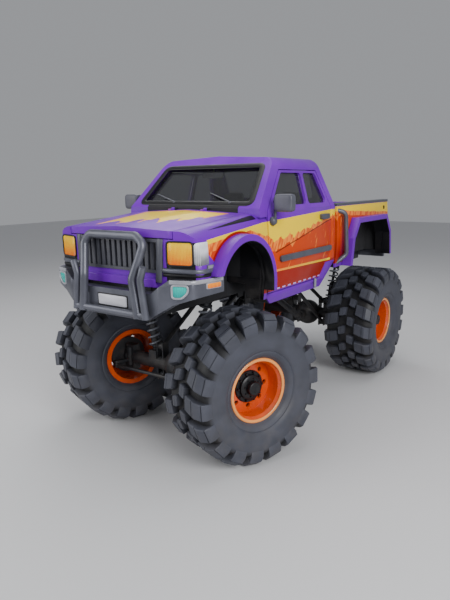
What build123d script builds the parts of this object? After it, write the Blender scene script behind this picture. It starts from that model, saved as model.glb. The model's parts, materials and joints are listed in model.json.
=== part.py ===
"""Lifted pickup on lug tyres: ladder frame, linked axles, hollow cab, load bed and four wheels.

X points forward, Y to the driver's left, Z up. The origin is on the ground below the middle of
the overall box. All sizes are millimetres. The front wheels stand turned to the right.
"""
import math
import os

from build123d import *

os.makedirs("parts", exist_ok=True)

# Clearances
seat_gap = 0.3
bearing_gap = 0.05
running_gap = 6.0
panel_gap = 8.0
overrun = 100.0

# Lengths along the truck, nose to tail
front_overhang = 900.0
cab_setback = 260.0
cab_length = 1590.0
bed_gap = 50.0
headboard_thickness = 50.0
tub_front_margin = 148.0
bed_arch_low = 640.0
flare_width = 62.0
tub_rear_margin = 2.0
tailgate_thickness = 60.0
rear_bumper_reach = 100.0
bed_arch_lead = 100.0
tub_half = bed_arch_low + flare_width
floor_length = tub_front_margin + 2 * tub_half + tub_rear_margin
bed_length = headboard_thickness + floor_length + 2 * panel_gap + tailgate_thickness
overall_length = front_overhang + cab_setback + cab_length + bed_gap + bed_length + rear_bumper_reach
nose_x = overall_length / 2
tail_x = nose_x - overall_length
front_axle_x = nose_x - front_overhang
cab_front_x = front_axle_x - cab_setback
cab_back_x = cab_front_x - cab_length
bed_front_x = cab_back_x - bed_gap
bed_rear_x = bed_front_x - bed_length
bed_arch_centre_x = bed_front_x - headboard_thickness - tub_front_margin - tub_half
rear_axle_x = bed_arch_centre_x - bed_arch_lead

# Tyres
tyre_radius = 690.0
tyre_width = 620.0
lug_count = 18
lug_height = 56.0
lug_width = 148.0
lug_inner = 112.0
lug_flat = 250.0
lug_lean_deg = 15.0
lug_foot = 104.0
lug_sink = 26.0
casing_shoulder = 205.0
casing_bevel = 60.0
casing_side = 165.0
casing_wall = 56.0
wall_inset = 18.0
wall_step = 40.0
wall_bulge = 38.0
bead_width = 36.0
bead_step = 4.0
tread_sides = 2 * lug_count
lug_lean = math.tan(math.radians(lug_lean_deg))
lug_reach = (lug_width + lug_lean * (lug_flat - lug_inner)) / 2
half_pitch = math.pi / lug_count
lug_top = (tyre_radius - math.sin(half_pitch) * lug_reach) / math.cos(half_pitch)

# Rims
rim_lip_radius = 296.0
rim_flange = 19.0
rim_well = 12.0
rim_wall = 16.0
rim_lip_width = 6.0
rim_width = 460.0
rim_seat_width = 44.0
rim_lip_chamfer = 14.0
rim_lip_slope = 40.0
rim_disc_depth = 150.0
rim_disc_thickness = 24.0
rim_disc_dish = 20.0
hub_radius = 112.0
hub_boss = 50.0
hub_bevel = 20.0
hub_cap_radius = 62.0
hub_cap_reach = 96.0
hub_cap_taper = 10.0
hub_inner = -70.0
hand_hole_count = 8
hand_hole_radius = 22.0
hand_hole_circle = 185.0
rim_bead_radius = rim_lip_radius - rim_flange
rim_barrel_radius = rim_bead_radius - rim_well
rim_bore_radius = rim_barrel_radius - rim_wall

# Axles, knuckles and steering
half_track = 830.0
axle_z = tyre_radius
axle_tube_radius = 72.0
diff_radius = 170.0
diff_setback = 50.0
pinion_reach = 250.0
pinion_radius = 62.0
kingpin_offset = 170.0
kingpin_y = half_track - kingpin_offset
kingpin_radius = 24.0
boss_radius = 48.0
boss_half = 100.0
fork_gap = 6.0
fork_plate = 28.0
fork_width = 90.0
fork_reach = 90.0
fork_web = 24.0
fork_inner = boss_half + fork_gap
fork_outer = fork_inner + fork_plate
drum_inner = -115.0
drum_outer = -80.0
drum_radius = 190.0
drum_fin = 5.0
drum_fin_count = 4
drum_groove = 14.0
spindle_radius = 60.0
spindle_end = 40.0
steer_rest_deg = -20.0
steer_arm_length = 170.0
arm_low_z = -52.0
arm_thickness = 26.0
tie_rod_radius = 18.0
ball_radius = 26.0
rod_pin_radius = 13.0
rod_pin_end = 10.0
rod_eye_height = 40.0
rod_drop = running_gap + rod_eye_height + rod_pin_end

# Ladder frame, carried clear of the tyre tops
body_clearance = 20.0
rail_y = 380.0
rail_width = 80.0
rail_height = 140.0
rail_bottom_z = axle_z + tyre_radius + body_clearance
rail_top_z = rail_bottom_z + rail_height
rail_rear_x = bed_rear_x
cross_height = 60.0
cross_length = 70.0
cross_spread = 110.0

# Suspension links, springs and drive line
link_y = 200.0
link_radius = 24.0
link_eye_radius = 38.0
link_eye_width = 60.0
link_pin_radius = 14.0
bracket_plate = 12.0
bracket_edge = 8.0
frame_bracket_length = 80.0
axle_bracket_length = 90.0
lower_link_span = 900.0
upper_link_span = 760.0
lower_link_axle_z = axle_z - 130.0
upper_link_axle_z = axle_z + 175.0
lower_link_frame_z = rail_bottom_z - 165.0
upper_link_frame_z = rail_bottom_z - 65.0
spring_y = 290.0
spring_top_y = 372.0
spring_radius = 66.0
spring_core = 46.0
spring_pitch = 44.0
spring_wire = 22.0
spring_end = 110.0
spring_seat_height = 130.0
spring_seat_length = 120.0
spring_seat_width = 100.0
spring_seat_z = axle_z + spring_seat_height
damper_radius = 34.0
shaft_radius = 38.0
joint_ball_radius = 46.0
transfer_x = (front_axle_x + rear_axle_x) / 2
transfer_half_length = 110.0
transfer_half_width = 130.0
transfer_low_z = rail_bottom_z - 210.0
drive_output_z = transfer_low_z + 60.0
gear_output_z = rail_bottom_z - 48.0
engine_gap = 70.0
engine_length = 600.0
engine_half_width = 250.0
engine_mount_front = 150.0
engine_mount_rear = 50.0
engine_rear_x = cab_front_x + engine_gap
gearbox_length = 510.0
gearbox_rear_x = engine_rear_x - gearbox_length
gearbox_half_width = 150.0
gearbox_low_z = rail_bottom_z - 110.0
gearbox_top_gap = 10.0

# Body heights and widths
sill_z = rail_bottom_z - 60.0
floor_z = rail_top_z + 60.0
side_mid_z = floor_z + 200.0
belt_z = floor_z + 610.0
roof_z = belt_z + 525.0
body_half = 822.0
side_low_y = body_half - 22.0
side_mid_y = body_half
belt_y = body_half - 20.0
cant_y = body_half - 132.0
cant_z = roof_z - 120.0
cant_bulge = 14.0
roof_edge_y = cant_y - 100.0
roof_edge_z = roof_z - 29.0
beyond_y = body_half + 8.0
sill_inner_y = side_low_y - 190.0
sill_slope = 30.0
cab_wall = 66.0
screen_base_z = belt_z + 30.0
screen_top_x = cab_front_x - 420.0
screen_top_z = roof_z - 75.0
back_lean = 250.0
glass_thickness = 6.0
glass_inset = 28.0
pillar_split_y = roof_edge_y - 30.0
fender_skin = 30.0
fender_top_rear_z = belt_z - 50.0
screen_half_low = body_half - 132.0
screen_half_high = roof_edge_y + 6.0
screen_low_z = belt_z + 70.0
screen_high_z = roof_z - 103.0
back_window_half = roof_edge_y - 15.0
back_window_low_z = belt_z + 80.0
back_window_high_z = roof_z - 135.0
rear_corner_cut = 330.0
rear_corner_rise = 250.0
sill_nose_cut = 60.0

# Doors
door_front_x = cab_front_x - 120.0
door_rear_x = cab_back_x + 110.0
door_bottom_z = sill_z + 100.0
door_top_z = roof_z - 145.0
door_rear_low_z = door_bottom_z + 280.0
door_rear_cut = 270.0
door_swing_slack = 10.0
window_divider_x = door_rear_x + 530.0
window_divider = 46.0
window_sill_z = belt_z + 40.0
window_top_z = door_top_z - 30.0
window_border = 58.0
window_corner = 36.0
moulding_front_x = door_front_x - 200.0
moulding_rear_x = door_rear_x + 20.0
moulding_z = door_bottom_z + 315.0
moulding_height = 62.0
moulding_reach = 26.0
trim_depth = 60.0
handle_x = door_rear_x + 190.0
handle_z = belt_z - 105.0
handle_length = 190.0
handle_height = 58.0
handle_corner = 19.0
mirror_x = door_front_x - 70.0
mirror_y = body_half + 123.0
mirror_z = belt_z + 75.0
mirror_base_z = belt_z - 90.0
mirror_ball = 42.0
mirror_stalk = 14.0
mirror_stalk_out = 23.0
mirror_length = 100.0
mirror_width = 190.0
mirror_height = 160.0
mirror_corner = 24.0

# Front clip
clip_nose_x = nose_x - 180.0
clip_wall = 34.0
clip_skirt = 20.0
clip_plan_slack = 12.0
nose_sweep = 60.0
nose_flat_y = body_half - 250.0
nose_corner_radius = 110.0
shoulder_bulge = 10.0
shoulder_rear = (body_half - 16.0, belt_z - 90.0)
shoulder_nose = (body_half - 22.0, belt_z - 178.0)
hood_edge_rear = (body_half - 132.0, belt_z - 5.0)
hood_edge_nose = (body_half - 182.0, belt_z - 106.0)
hood_rear_z = belt_z + 28.0
hood_nose_z = belt_z - 82.0
hood_lip_z = belt_z - 162.0
hood_half_width_rear = body_half - 182.0
hood_half_width_front = body_half - 226.0
hood_rear_x = cab_front_x + 14.0
hood_hinge_x = cab_front_x + 16.0
hood_hinge_y = 200.0
hood_hinge_z = belt_z + 22.0
hood_pin_radius = 5.0
ear_drop = 1.0
barrel_radius = 9.0
barrel_half = 18.0
ear_half = 4.0
ear_nose = 7.0
ear_height = 18.0
leaf_length = 60.0
leaf_drop = 18.0
leaf_lap = 4.0
fender_bottom_z = sill_z + 60.0
nose_bottom_z = sill_z + 300.0
arch_centre_x = front_axle_x + 95.0
arch_radius = 405.0
arch_top_z = floor_z + 385.0
flare_reach = 100.0
flare_bed = 40.0
flare_front_z = arch_top_z - 240.0
flare_rear_z = arch_top_z - 485.0
lamp_inner_y = body_half - 277.0
lamp_split_y = body_half - 57.0
lamp_height = 180.0
lamp_z = hood_lip_z - 118.0
lamp_depth = 200.0
lamp_corner = 30.0
lamp_wrap = 20.0
lamp_gap = 8.0
corner_lamp_rear_x = clip_nose_x - 185.0
nose_joint = 12.0
grille_half_width = lamp_inner_y - 45.0
grille_top_z = hood_lip_z - panel_gap
grille_bottom_z = nose_bottom_z + 125.0
grille_reach = 12.0
grille_frame = 26.0
grille_bar = 36.0
grille_bar_count = 15
inner_wall_y = rail_y + rail_width / 2
liner = 8.0
liner_front_gap = 60.0
shelf_z = arch_top_z + 10.0
shelf_outer_y = body_half - 82.0
radiator_x = clip_nose_x - 70.0
radiator_thickness = 60.0
radiator_half_width = 320.0
radiator_top_z = lamp_z + 50.0
engine_top_z = lamp_z + 70.0

# Bumper, fog lamps and bull bar
bumper_front_x = nose_x - 80.0
rail_front_x = bumper_front_x - 95.0
bumper_depth = 95.0
bumper_top_z = nose_bottom_z + 90.0
bumper_bottom_z = rail_bottom_z - 20.0
bumper_half_flat = body_half - 302.0
bumper_end_y = body_half + 43.0
bumper_end_x = bumper_front_x - 420.0
bumper_corner_run = 90.0
bumper_corner_in = 60.0
bumper_wing = 34.0
bumper_bend = 60.0
bumper_centre_half = body_half - 432.0
bumper_centre_top_z = nose_bottom_z - 28.0
bumper_step = 80.0
bumper_wing_start = 90.0
bumper_rise_run = 250.0
bumper_rise = 150.0
bumper_end_low_z = nose_bottom_z - 30.0
fog_y = body_half - 122.0
fog_z = nose_bottom_z
fog_length = 130.0
fog_height = 104.0
fog_cut = 52.0
fog_corner = 14.0
bull_tube_radius = 36.0
bull_bend = 70.0
hoop_foot_y = 330.0
hoop_foot_z = rail_bottom_z + 5.0
hoop_waist_y = 285.0
hoop_waist_z = nose_bottom_z + 80.0
hoop_top_y = 350.0
hoop_corner = 80.0
hoop_shoulder_z = hood_lip_z - 48.0
hoop_top_z = hood_lip_z + 14.0
hoop_top_x = clip_nose_x + grille_reach + bull_tube_radius + 12.0
post_step = 88.0
post_lean = 40.0
post_top_z = hoop_waist_z + 110.0
post_radius = 30.0
cross_tube_radius = 27.0
cross_tube_rise = 30.0
cross_tube_end = 10.0
bracket_reach = 60.0
bracket_width = 50.0
bracket_height = 110.0
hoop_bracket_y = 318.0
hoop_bracket_z = rail_bottom_z + 100.0

# Bed
bed_wall = 80.0
bed_inner_y = side_low_y - bed_wall
bed_bottom_z = rail_top_z - 40.0
bed_top_z = belt_z - 10.0
bed_floor_top_z = rail_top_z + 60.0
bed_arch_mid = 590.0
bed_arch_mid_z = bed_floor_top_z + 200.0
bed_arch_high = 450.0
bed_arch_top_z = bed_floor_top_z + 385.0
tub_depth = 190.0
tub_wall = 8.0
tub_top_z = bed_arch_top_z + 75.0
gate_hinge_x = bed_rear_x + 20.0
gate_hinge_z = bed_floor_top_z + 28.0
gate_pin_radius = 9.0
gate_pin_reach = 35.0
gate_panel_border = 110.0
gate_panel_depth = 12.0
gate_panel_corner = 40.0
gate_handle_length = 230.0
gate_handle_height = 80.0
gate_handle_depth = 24.0
gate_handle_drop = 60.0
rail_cap = 30.0
rail_cap_lip = 8.0
rail_cap_round = 10.0
tail_lamp_depth = 22.0
tail_lamp_z = bed_floor_top_z + 300.0
tail_lamp_height = 300.0
rear_bumper_half = body_half - 42.0
rear_bumper_low_z = rail_bottom_z + 40.0
rear_bumper_height = 110.0
rear_bumper_corner = 120.0
rear_bumper_taper = 40.0
tow_pin_inset = 50.0
tow_pin_radius = 16.5
side_bar_radius = 26.0
side_bar_bend = 70.0
side_bar_points = (
    # dx from the bed's front, dy from its side, z
    (-40.0, -40.0, bed_top_z - 50.0),
    (-110.0, 48.0, bed_top_z - 70.0),
    (-160.0, 56.0, bed_floor_top_z + 40.0),
    (-60.0, -40.0, bed_floor_top_z - 60.0),
)

# Interior
dash_low_z = floor_z + 300.0
dash_top_z = belt_z - 20.0
dash_depth = 230.0
dash_foot = 150.0
dash_face_rise = 120.0
dash_brow = 30.0
dash_ledge = 60.0
dash_half_width = body_half - 142.0
wheel_hub_x = cab_front_x - 440.0
wheel_hub_y = 370.0
wheel_hub_z = dash_top_z - 60.0
wheel_tilt_deg = 30.0
wheel_ring = 180.0
wheel_tube = 16.0
wheel_boss = 60.0
column_radius = 22.0
column_length = 400.0
seat_y = 370.0
seat_width = 480.0
seat_gap_behind = 310.0
seat_length = 570.0
seat_rear_x = cab_back_x + seat_gap_behind
seat_front_x = seat_rear_x + seat_length
seat_height = 760.0
cushion_top = 250.0
cushion_rear = 220.0
cushion_face = 210.0
cushion_nose = 20.0
back_thickness = 100.0
back_foot = 150.0
back_recline = 90.0
back_base = 120.0
seat_base = 60.0


def save(node, name):
    """Label a finished piece and write it as its own file."""
    node.part.label = name
    export_step(node.part, f"parts/{name}.step")


def save_pair(node, name):
    """Write the left piece and its mirror image as two nodes."""
    with BuildPart() as other:
        mirror(node.part, about=Plane.XZ)
    save(node, f"{name}_left")
    save(other, f"{name}_right")


def save_placed(node, name, place):
    """Write one node, moved to its place."""
    part = node.part.moved(place)
    part.label = name
    export_step(part, f"parts/{name}.step")


def side_plane(y):
    """Side view, X right and Z up, at a distance y to the left; extrusions run to the right."""
    return Plane.XZ.offset(-y)


def side_arc(inset, top_y, top_z):
    """Barrel side of the body from the sill up to a point, moved inwards by inset."""
    low = (side_low_y - inset, sill_z)
    ThreePointArc(low, (side_mid_y - inset, side_mid_z), (top_y - inset, top_z))


def screen_line(inset, along):
    """Point of the leaning screen in side view, inset from its face, a distance along from the base."""
    run = cab_front_x - screen_top_x
    rise = screen_top_z - screen_base_z
    slant = math.hypot(run, rise)
    base_z = screen_base_z - inset * run / slant + inset * (1 - rise / slant) * rise / run
    return (cab_front_x - inset - along * run / slant, base_z + along * rise / slant)


def back_line(z):
    """X of the cab's leaning back panel at a height above the belt."""
    return cab_back_x + back_lean * (z - belt_z) / (roof_z - belt_z)


def pillar_line(z):
    """X of the rear edge of the windscreen pillar, parallel to the screen."""
    lean = (cab_front_x - screen_top_x) / (screen_top_z - screen_base_z)
    return door_front_x - (z - belt_z) * lean


# Cab

def cab_volume(inset, bottom_z, floor=None):
    """Closed cab volume, inset from the skin: barrel sides, leaning glass and crowned roof.

    With a floor height, the middle of the underside is raised to it between the sills.
    """
    with BuildPart() as volume:
        with BuildSketch(Plane.YZ.offset(cab_back_x + inset)):
            with BuildLine():
                cant = (cant_y - inset, cant_z)
                edge = (roof_edge_y - inset, roof_edge_z - inset)
                middle = ((cant[0] + edge[0]) / 2 + cant_bulge, (cant[1] + edge[1]) / 2 + cant_bulge)
                if floor is None:
                    Line((0, sill_z), (side_low_y - inset, sill_z))
                else:
                    Polyline((0, floor), (sill_inner_y, floor), (sill_inner_y + sill_slope, sill_z),
                             (side_low_y - inset, sill_z))
                side_arc(inset, belt_y, belt_z)
                Line((belt_y - inset, belt_z), cant)
                ThreePointArc(cant, middle, edge)
                Line(edge, (0, roof_z - inset))
                mirror(about=Plane.YZ)
            make_face()
        extrude(amount=cab_length - 2 * inset)
        with BuildSketch(Plane.XZ):
            with BuildLine():
                back = cab_back_x + inset
                over = 2 * roof_z - belt_z
                Polyline(
                    (cab_front_x - inset, bottom_z), screen_line(inset, 0), screen_line(inset, over - belt_z),
                    (back + 2 * back_lean, over), (back, belt_z), (back, bottom_z),
                    close=True,
                )
            make_face()
        extrude(amount=beyond_y, both=True, mode=Mode.INTERSECT)
    return volume.part


def door_outline(shrink, y_far, y_near):
    """Prism of the door opening in side view, shrunk on every side, between two distances."""
    slack = door_swing_slack if shrink else 0
    top_rear_x = back_line(door_top_z) + door_rear_x - cab_back_x + slack
    with BuildPart() as prism:
        with BuildSketch(side_plane(y_far)):
            with BuildLine():
                Polyline(
                    (door_front_x, door_bottom_z), (door_front_x, belt_z),
                    (pillar_line(door_top_z), door_top_z), (top_rear_x, door_top_z), (door_rear_x, belt_z),
                    (door_rear_x, door_rear_low_z), (door_rear_x + door_rear_cut, door_bottom_z), close=True,
                )
            make_face()
            offset(amount=-shrink, kind=Kind.INTERSECTION)
        extrude(amount=y_far - y_near)
    return prism.part


def window_prisms(shrink):
    """Prisms of the door's main window and its rear light."""
    front = window_divider_x + window_divider / 2
    rear = window_divider_x - window_divider / 2
    border = window_border
    with BuildPart() as prisms:
        with BuildSketch(side_plane(beyond_y)):
            with BuildLine():
                Polyline(
                    (front, window_sill_z), (pillar_line(window_sill_z) - border, window_sill_z),
                    (pillar_line(window_top_z) - border, window_top_z), (front, window_top_z), close=True,
                )
            make_face()
            with BuildLine():
                Polyline(
                    (rear, window_sill_z), (rear, window_top_z),
                    (back_line(window_top_z) + door_rear_x - cab_back_x + border, window_top_z),
                    (back_line(window_sill_z) + door_rear_x - cab_back_x + border, window_sill_z), close=True,
                )
            make_face()
            fillet(vertices(), window_corner)
            offset(amount=-shrink, kind=Kind.INTERSECTION)
        extrude(amount=beyond_y - roof_edge_y + overrun)
    return prisms.part


def screen_prism(shrink):
    """Front view of the windscreen opening, carried through the leaning front wall."""
    with BuildPart() as prism:
        with BuildSketch(Plane.YZ.offset(screen_top_x - 2 * overrun)):
            with BuildLine():
                Polyline((-screen_half_low, screen_low_z), (screen_half_low, screen_low_z),
                         (screen_half_high, screen_high_z), (-screen_half_high, screen_high_z), close=True)
            make_face()
            fillet(vertices(), window_corner)
            offset(amount=-shrink, kind=Kind.INTERSECTION)
        extrude(amount=cab_front_x - screen_top_x + 3 * overrun)
    return prism.part


def back_window_prism(shrink):
    """Front view of the rear window opening, carried through the back panel."""
    with BuildPart() as prism:
        with BuildSketch(Plane.YZ.offset(cab_back_x - overrun)):
            with Locations((0, (back_window_low_z + back_window_high_z) / 2)):
                height = back_window_high_z - back_window_low_z
                RectangleRounded(2 * (back_window_half - shrink), height - 2 * shrink, window_corner)
        extrude(amount=back_lean + 3 * overrun)
    return prism.part


cab_outer = cab_volume(0, sill_z, rail_top_z)
cab_inner = cab_volume(cab_wall, floor_z)
cab_behind_doors = cab_volume(cab_wall, sill_z)
cab_behind_fenders = cab_volume(fender_skin + seat_gap, sill_z)

# Hollow cab with the windows, the door openings and the seat of the fenders cut out of it
with BuildPart() as cab_shell:
    add(cab_outer)
    add(cab_inner, mode=Mode.SUBTRACT)
    add(screen_prism(0), mode=Mode.SUBTRACT)
    add(back_window_prism(0), mode=Mode.SUBTRACT)
    with BuildPart(mode=Mode.PRIVATE) as door_void:
        add(door_outline(0, beyond_y, sill_inner_y))
        mirror(about=Plane.XZ)
        add(cab_behind_doors, mode=Mode.SUBTRACT)
    add(door_void.part, mode=Mode.SUBTRACT)
    with BuildPart(mode=Mode.PRIVATE) as fender_void:
        void_length = cab_front_x - door_front_x + overrun
        void_height = fender_top_rear_z - sill_z + overrun
        with Locations((door_front_x + void_length / 2, 0, fender_top_rear_z - void_height / 2)):
            Box(void_length, 2 * beyond_y, void_height)
        add(cab_behind_fenders, mode=Mode.SUBTRACT)
    add(fender_void.part, mode=Mode.SUBTRACT)
    with BuildSketch(Plane.XZ):
        with BuildLine():
            Polyline((cab_back_x, sill_z), (cab_back_x + rear_corner_cut, sill_z),
                     (cab_back_x, sill_z + rear_corner_rise), close=True)
        make_face()
        with BuildLine():
            cut_z = sill_z + sill_nose_cut
            Polyline((cab_front_x, sill_z), (door_front_x - sill_nose_cut, sill_z), (door_front_x, cut_z),
                     (cab_front_x, cut_z), close=True)
        make_face()
    extrude(amount=beyond_y, both=True, mode=Mode.SUBTRACT)


def cab_panel(x_range, y_range, z_range):
    """Part of the cab shell inside a box: one panel, or one each side where the box is mirrored."""
    with BuildPart() as panel:
        with Locations((sum(x_range) / 2, sum(y_range) / 2, sum(z_range) / 2)):
            Box(x_range[1] - x_range[0], y_range[1] - y_range[0], z_range[1] - z_range[0])
        if y_range[0] > 0:
            mirror(about=Plane.XZ)
        add(cab_shell.part, mode=Mode.INTERSECT)
    return panel


cab_x = (cab_back_x - overrun, cab_front_x + overrun)
panel_split_z = (screen_low_z + screen_high_z) / 2
middle_y = (-pillar_split_y, pillar_split_y)
below_screen_x = (screen_top_x, cab_front_x + overrun)
before_back_x = (cab_back_x - overrun, cab_back_x + back_lean + cab_wall)
cab_panels = {
    "cab_floor": cab_panel(cab_x, (-beyond_y, beyond_y), (sill_z - overrun, floor_z)),
    "cab_sides": cab_panel(cab_x, (pillar_split_y, beyond_y), (floor_z, roof_z)),
    "firewall": cab_panel(below_screen_x, middle_y, (floor_z, panel_split_z)),
    "cab_back": cab_panel(before_back_x, middle_y, (floor_z, panel_split_z)),
    "roof": cab_panel(cab_x, middle_y, (panel_split_z, roof_z + overrun)),
}
with BuildPart() as hinged_firewall:
    add(cab_panels["firewall"].part)
    ear_front_x = hood_hinge_x + ear_nose
    for side in (-1, 1):
        for step in (-1, 1):
            ear_y = side * hood_hinge_y + step * (barrel_half + running_gap + ear_half)
            with Locations(((cab_front_x + ear_front_x) / 2, ear_y, hood_hinge_z - ear_drop)):
                Box(ear_front_x - cab_front_x, 2 * ear_half, ear_height)
        with Locations((hood_hinge_x, side * hood_hinge_y, hood_hinge_z)):
            Cylinder(hood_pin_radius, 2 * (barrel_half + running_gap + ear_half), rotation=(90, 0, 0))
cab_panels["firewall"] = hinged_firewall
for name, panel in cab_panels.items():
    save(panel, name)

# Windscreen and rear window, bedded in the middle of the wall
with BuildPart() as cab_glass:
    add(cab_volume(glass_inset, sill_z))
    add(cab_volume(glass_inset + glass_thickness, sill_z), mode=Mode.SUBTRACT)
with BuildPart() as windscreen:
    add(cab_glass.part)
    add(screen_prism(seat_gap), mode=Mode.INTERSECT)
save(windscreen, "windscreen")
with BuildPart() as rear_window:
    add(cab_glass.part)
    add(back_window_prism(seat_gap), mode=Mode.INTERSECT)
save(rear_window, "rear_window")

# Doors with their two lights, trim and mirrors
with BuildPart() as door:
    add(cab_outer)
    add(cab_behind_doors, mode=Mode.SUBTRACT)
    add(door_outline(panel_gap, beyond_y, sill_inner_y), mode=Mode.INTERSECT)
    add(window_prisms(0), mode=Mode.SUBTRACT)
save_pair(door, "door")
with BuildPart() as door_glass:
    add(cab_glass.part)
    add(window_prisms(seat_gap), mode=Mode.INTERSECT)
save_pair(door_glass, "door_glass")

# Side moulding and pull handle, seated on the door skin
with BuildPart() as door_trim:
    with BuildSketch(side_plane(side_mid_y + moulding_reach)):
        with Locations(((moulding_front_x + moulding_rear_x) / 2, moulding_z)):
            SlotOverall(moulding_front_x - moulding_rear_x, moulding_height)
        with Locations((handle_x, handle_z)):
            RectangleRounded(handle_length, handle_height, handle_corner)
    extrude(amount=trim_depth)
    add(cab_outer, mode=Mode.SUBTRACT)
save_pair(door_trim, "door_trim")

with BuildPart() as mirror_arm:
    with Locations((mirror_x, side_mid_y, mirror_base_z)):
        Sphere(mirror_ball)
    with Locations((mirror_x, mirror_y, mirror_z)):
        Box(mirror_length, mirror_width, mirror_height)
    fillet(edges().filter_by(GeomType.LINE), mirror_corner)
    with BuildSketch(Plane.XY.offset(mirror_base_z)):
        with Locations((mirror_x, side_mid_y + mirror_stalk_out)):
            Circle(mirror_stalk)
    extrude(amount=mirror_z - mirror_base_z)
    add(cab_outer, mode=Mode.SUBTRACT)
save_pair(mirror_arm, "mirror")

# Front clip

def clip_section(x, inset, shoulder, edge, crown_z):
    """Section of the front clip at x: barrel side, rounded shoulder and crowned hood."""
    with BuildSketch(Plane.YZ.offset(x)) as section:
        with BuildLine():
            top = (shoulder[0] - inset, shoulder[1])
            rim = (edge[0] - inset / 2, edge[1] - inset)
            middle = ((top[0] + rim[0]) / 2 + shoulder_bulge, (top[1] + rim[1]) / 2 + shoulder_bulge)
            low_y = side_low_y - inset
            Polyline((0, sill_z - clip_skirt), (low_y, sill_z - clip_skirt), (low_y, sill_z))
            side_arc(inset, *shoulder)
            ThreePointArc(top, middle, rim)
            Line(rim, (0, crown_z - inset))
            mirror(about=Plane.YZ)
        make_face()
    return section.sketch


def clip_volume(inset):
    """Closed volume of the front clip, inset from its skin, with the nose swept back and rounded in plan."""
    rear = door_front_x + panel_gap - inset
    with BuildPart() as volume:
        loft(sections=[
            clip_section(rear, inset, shoulder_rear, hood_edge_rear, hood_rear_z),
            clip_section(clip_nose_x - inset, inset, shoulder_nose, hood_edge_nose, hood_nose_z),
        ], ruled=True)
        with BuildSketch(Plane.XY.offset(sill_z - clip_skirt)):
            with BuildLine():
                half = side_mid_y + clip_plan_slack - inset
                front = clip_nose_x - inset
                FilletPolyline(
                    (rear, -half), (front - nose_sweep, -half), (front, -nose_flat_y), (front, nose_flat_y),
                    (front - nose_sweep, half), (rear, half), radius=nose_corner_radius - inset,
                )
                Line((rear, half), (rear, -half))
            make_face()
        extrude(amount=roof_z - sill_z, mode=Mode.INTERSECT)
    return volume.part


def arch_prism(grow, low_z, y_far, y_near):
    """Round front wheel arch in side view, grown by an amount, open below down to low_z."""
    centre_z = arch_top_z - arch_radius
    with BuildPart() as prism:
        with BuildSketch(side_plane(y_far)):
            with Locations((arch_centre_x, centre_z)):
                Circle(arch_radius + grow)
            with Locations((arch_centre_x, (centre_z + low_z) / 2)):
                Rectangle(2 * (arch_radius + grow), centre_z - low_z)
        extrude(amount=y_far - y_near)
    return prism.part


def bed_arch_prism(grow, low_z, y_far, y_near):
    """Wide rear wheel arch in side view, grown by an amount, open below down to low_z."""
    with BuildPart() as prism:
        with BuildSketch(side_plane(y_far)):
            with BuildLine():
                front_half = (
                    # distance from the arch's middle, z
                    (bed_arch_low, low_z),
                    (bed_arch_low + grow, bed_bottom_z),
                    (bed_arch_mid + grow, bed_arch_mid_z + grow / 3),
                    (bed_arch_high + grow / 2, bed_arch_top_z + grow),
                )
                forward = [(bed_arch_centre_x + reach, z) for reach, z in front_half]
                rearward = [(bed_arch_centre_x - reach, z) for reach, z in reversed(front_half)]
                Polyline(*forward, *rearward, close=True)
            make_face()
        extrude(amount=y_far - y_near)
    return prism.part


def hood_half(x):
    """Half width of the hood at x."""
    taper = (hood_half_width_rear - hood_half_width_front) / (clip_nose_x - hood_rear_x)
    return hood_half_width_front + (clip_nose_x - x) * taper


def hood_prism(grow, rear_x):
    """Plan of the hood from rear_x forwards, grown sideways, above the grille."""
    with BuildPart() as prism:
        with BuildSketch(Plane.XY.offset(hood_lip_z - grow)):
            with BuildLine():
                front_x = clip_nose_x + overrun
                Polyline((rear_x, -hood_half(rear_x) - grow), (front_x, -hood_half(front_x) - grow),
                         (front_x, hood_half(front_x) + grow), (rear_x, hood_half(rear_x) + grow), close=True)
            make_face()
        extrude(amount=roof_z - hood_lip_z)
    return prism.part


def lamp_prism(y_inner, y_outer, x_rear, shrink):
    """Front view of a lamp on the left nose corner, from x_rear forwards."""
    with BuildPart() as prism:
        with BuildSketch(Plane.YZ.offset(x_rear + shrink)):
            with Locations(((y_inner + y_outer) / 2, lamp_z)):
                RectangleRounded(y_outer - y_inner - 2 * shrink, lamp_height - 2 * shrink, lamp_corner)
        extrude(amount=clip_nose_x - x_rear + overrun)
    return prism.part


def grille_prism(shrink, x_rear, x_front):
    """Opening of the grille in the nose panel."""
    with BuildPart() as prism:
        with BuildSketch(Plane.YZ.offset(x_rear)):
            with Locations((0, (grille_top_z + grille_bottom_z) / 2)):
                height = grille_top_z - grille_bottom_z - 2 * shrink
                RectangleRounded(2 * (grille_half_width - shrink), height, lamp_corner)
        extrude(amount=x_front - x_rear)
    return prism.part


lamp_rows = (
    # name, inner y, outer y, rear x
    ("headlamps", lamp_inner_y, lamp_split_y, clip_nose_x - lamp_depth),
    ("corner_lamps", lamp_split_y + lamp_gap, side_mid_y + lamp_wrap, corner_lamp_rear_x),
)

clip_outer = clip_volume(0)
with BuildPart() as clip_shell:
    add(clip_outer)
    add(clip_volume(clip_wall), mode=Mode.SUBTRACT)
    add(arch_prism(0, sill_z - overrun, beyond_y, -beyond_y), mode=Mode.SUBTRACT)
    with BuildSketch(Plane.XZ):
        with BuildLine():
            below = sill_z - overrun
            behind = door_front_x - overrun
            Polyline(
                (behind, below), (behind, fender_bottom_z), (arch_centre_x, fender_bottom_z),
                (arch_centre_x, nose_bottom_z), (nose_x, nose_bottom_z), (nose_x, below), close=True,
            )
        make_face()
    extrude(amount=beyond_y, both=True, mode=Mode.SUBTRACT)

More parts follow.
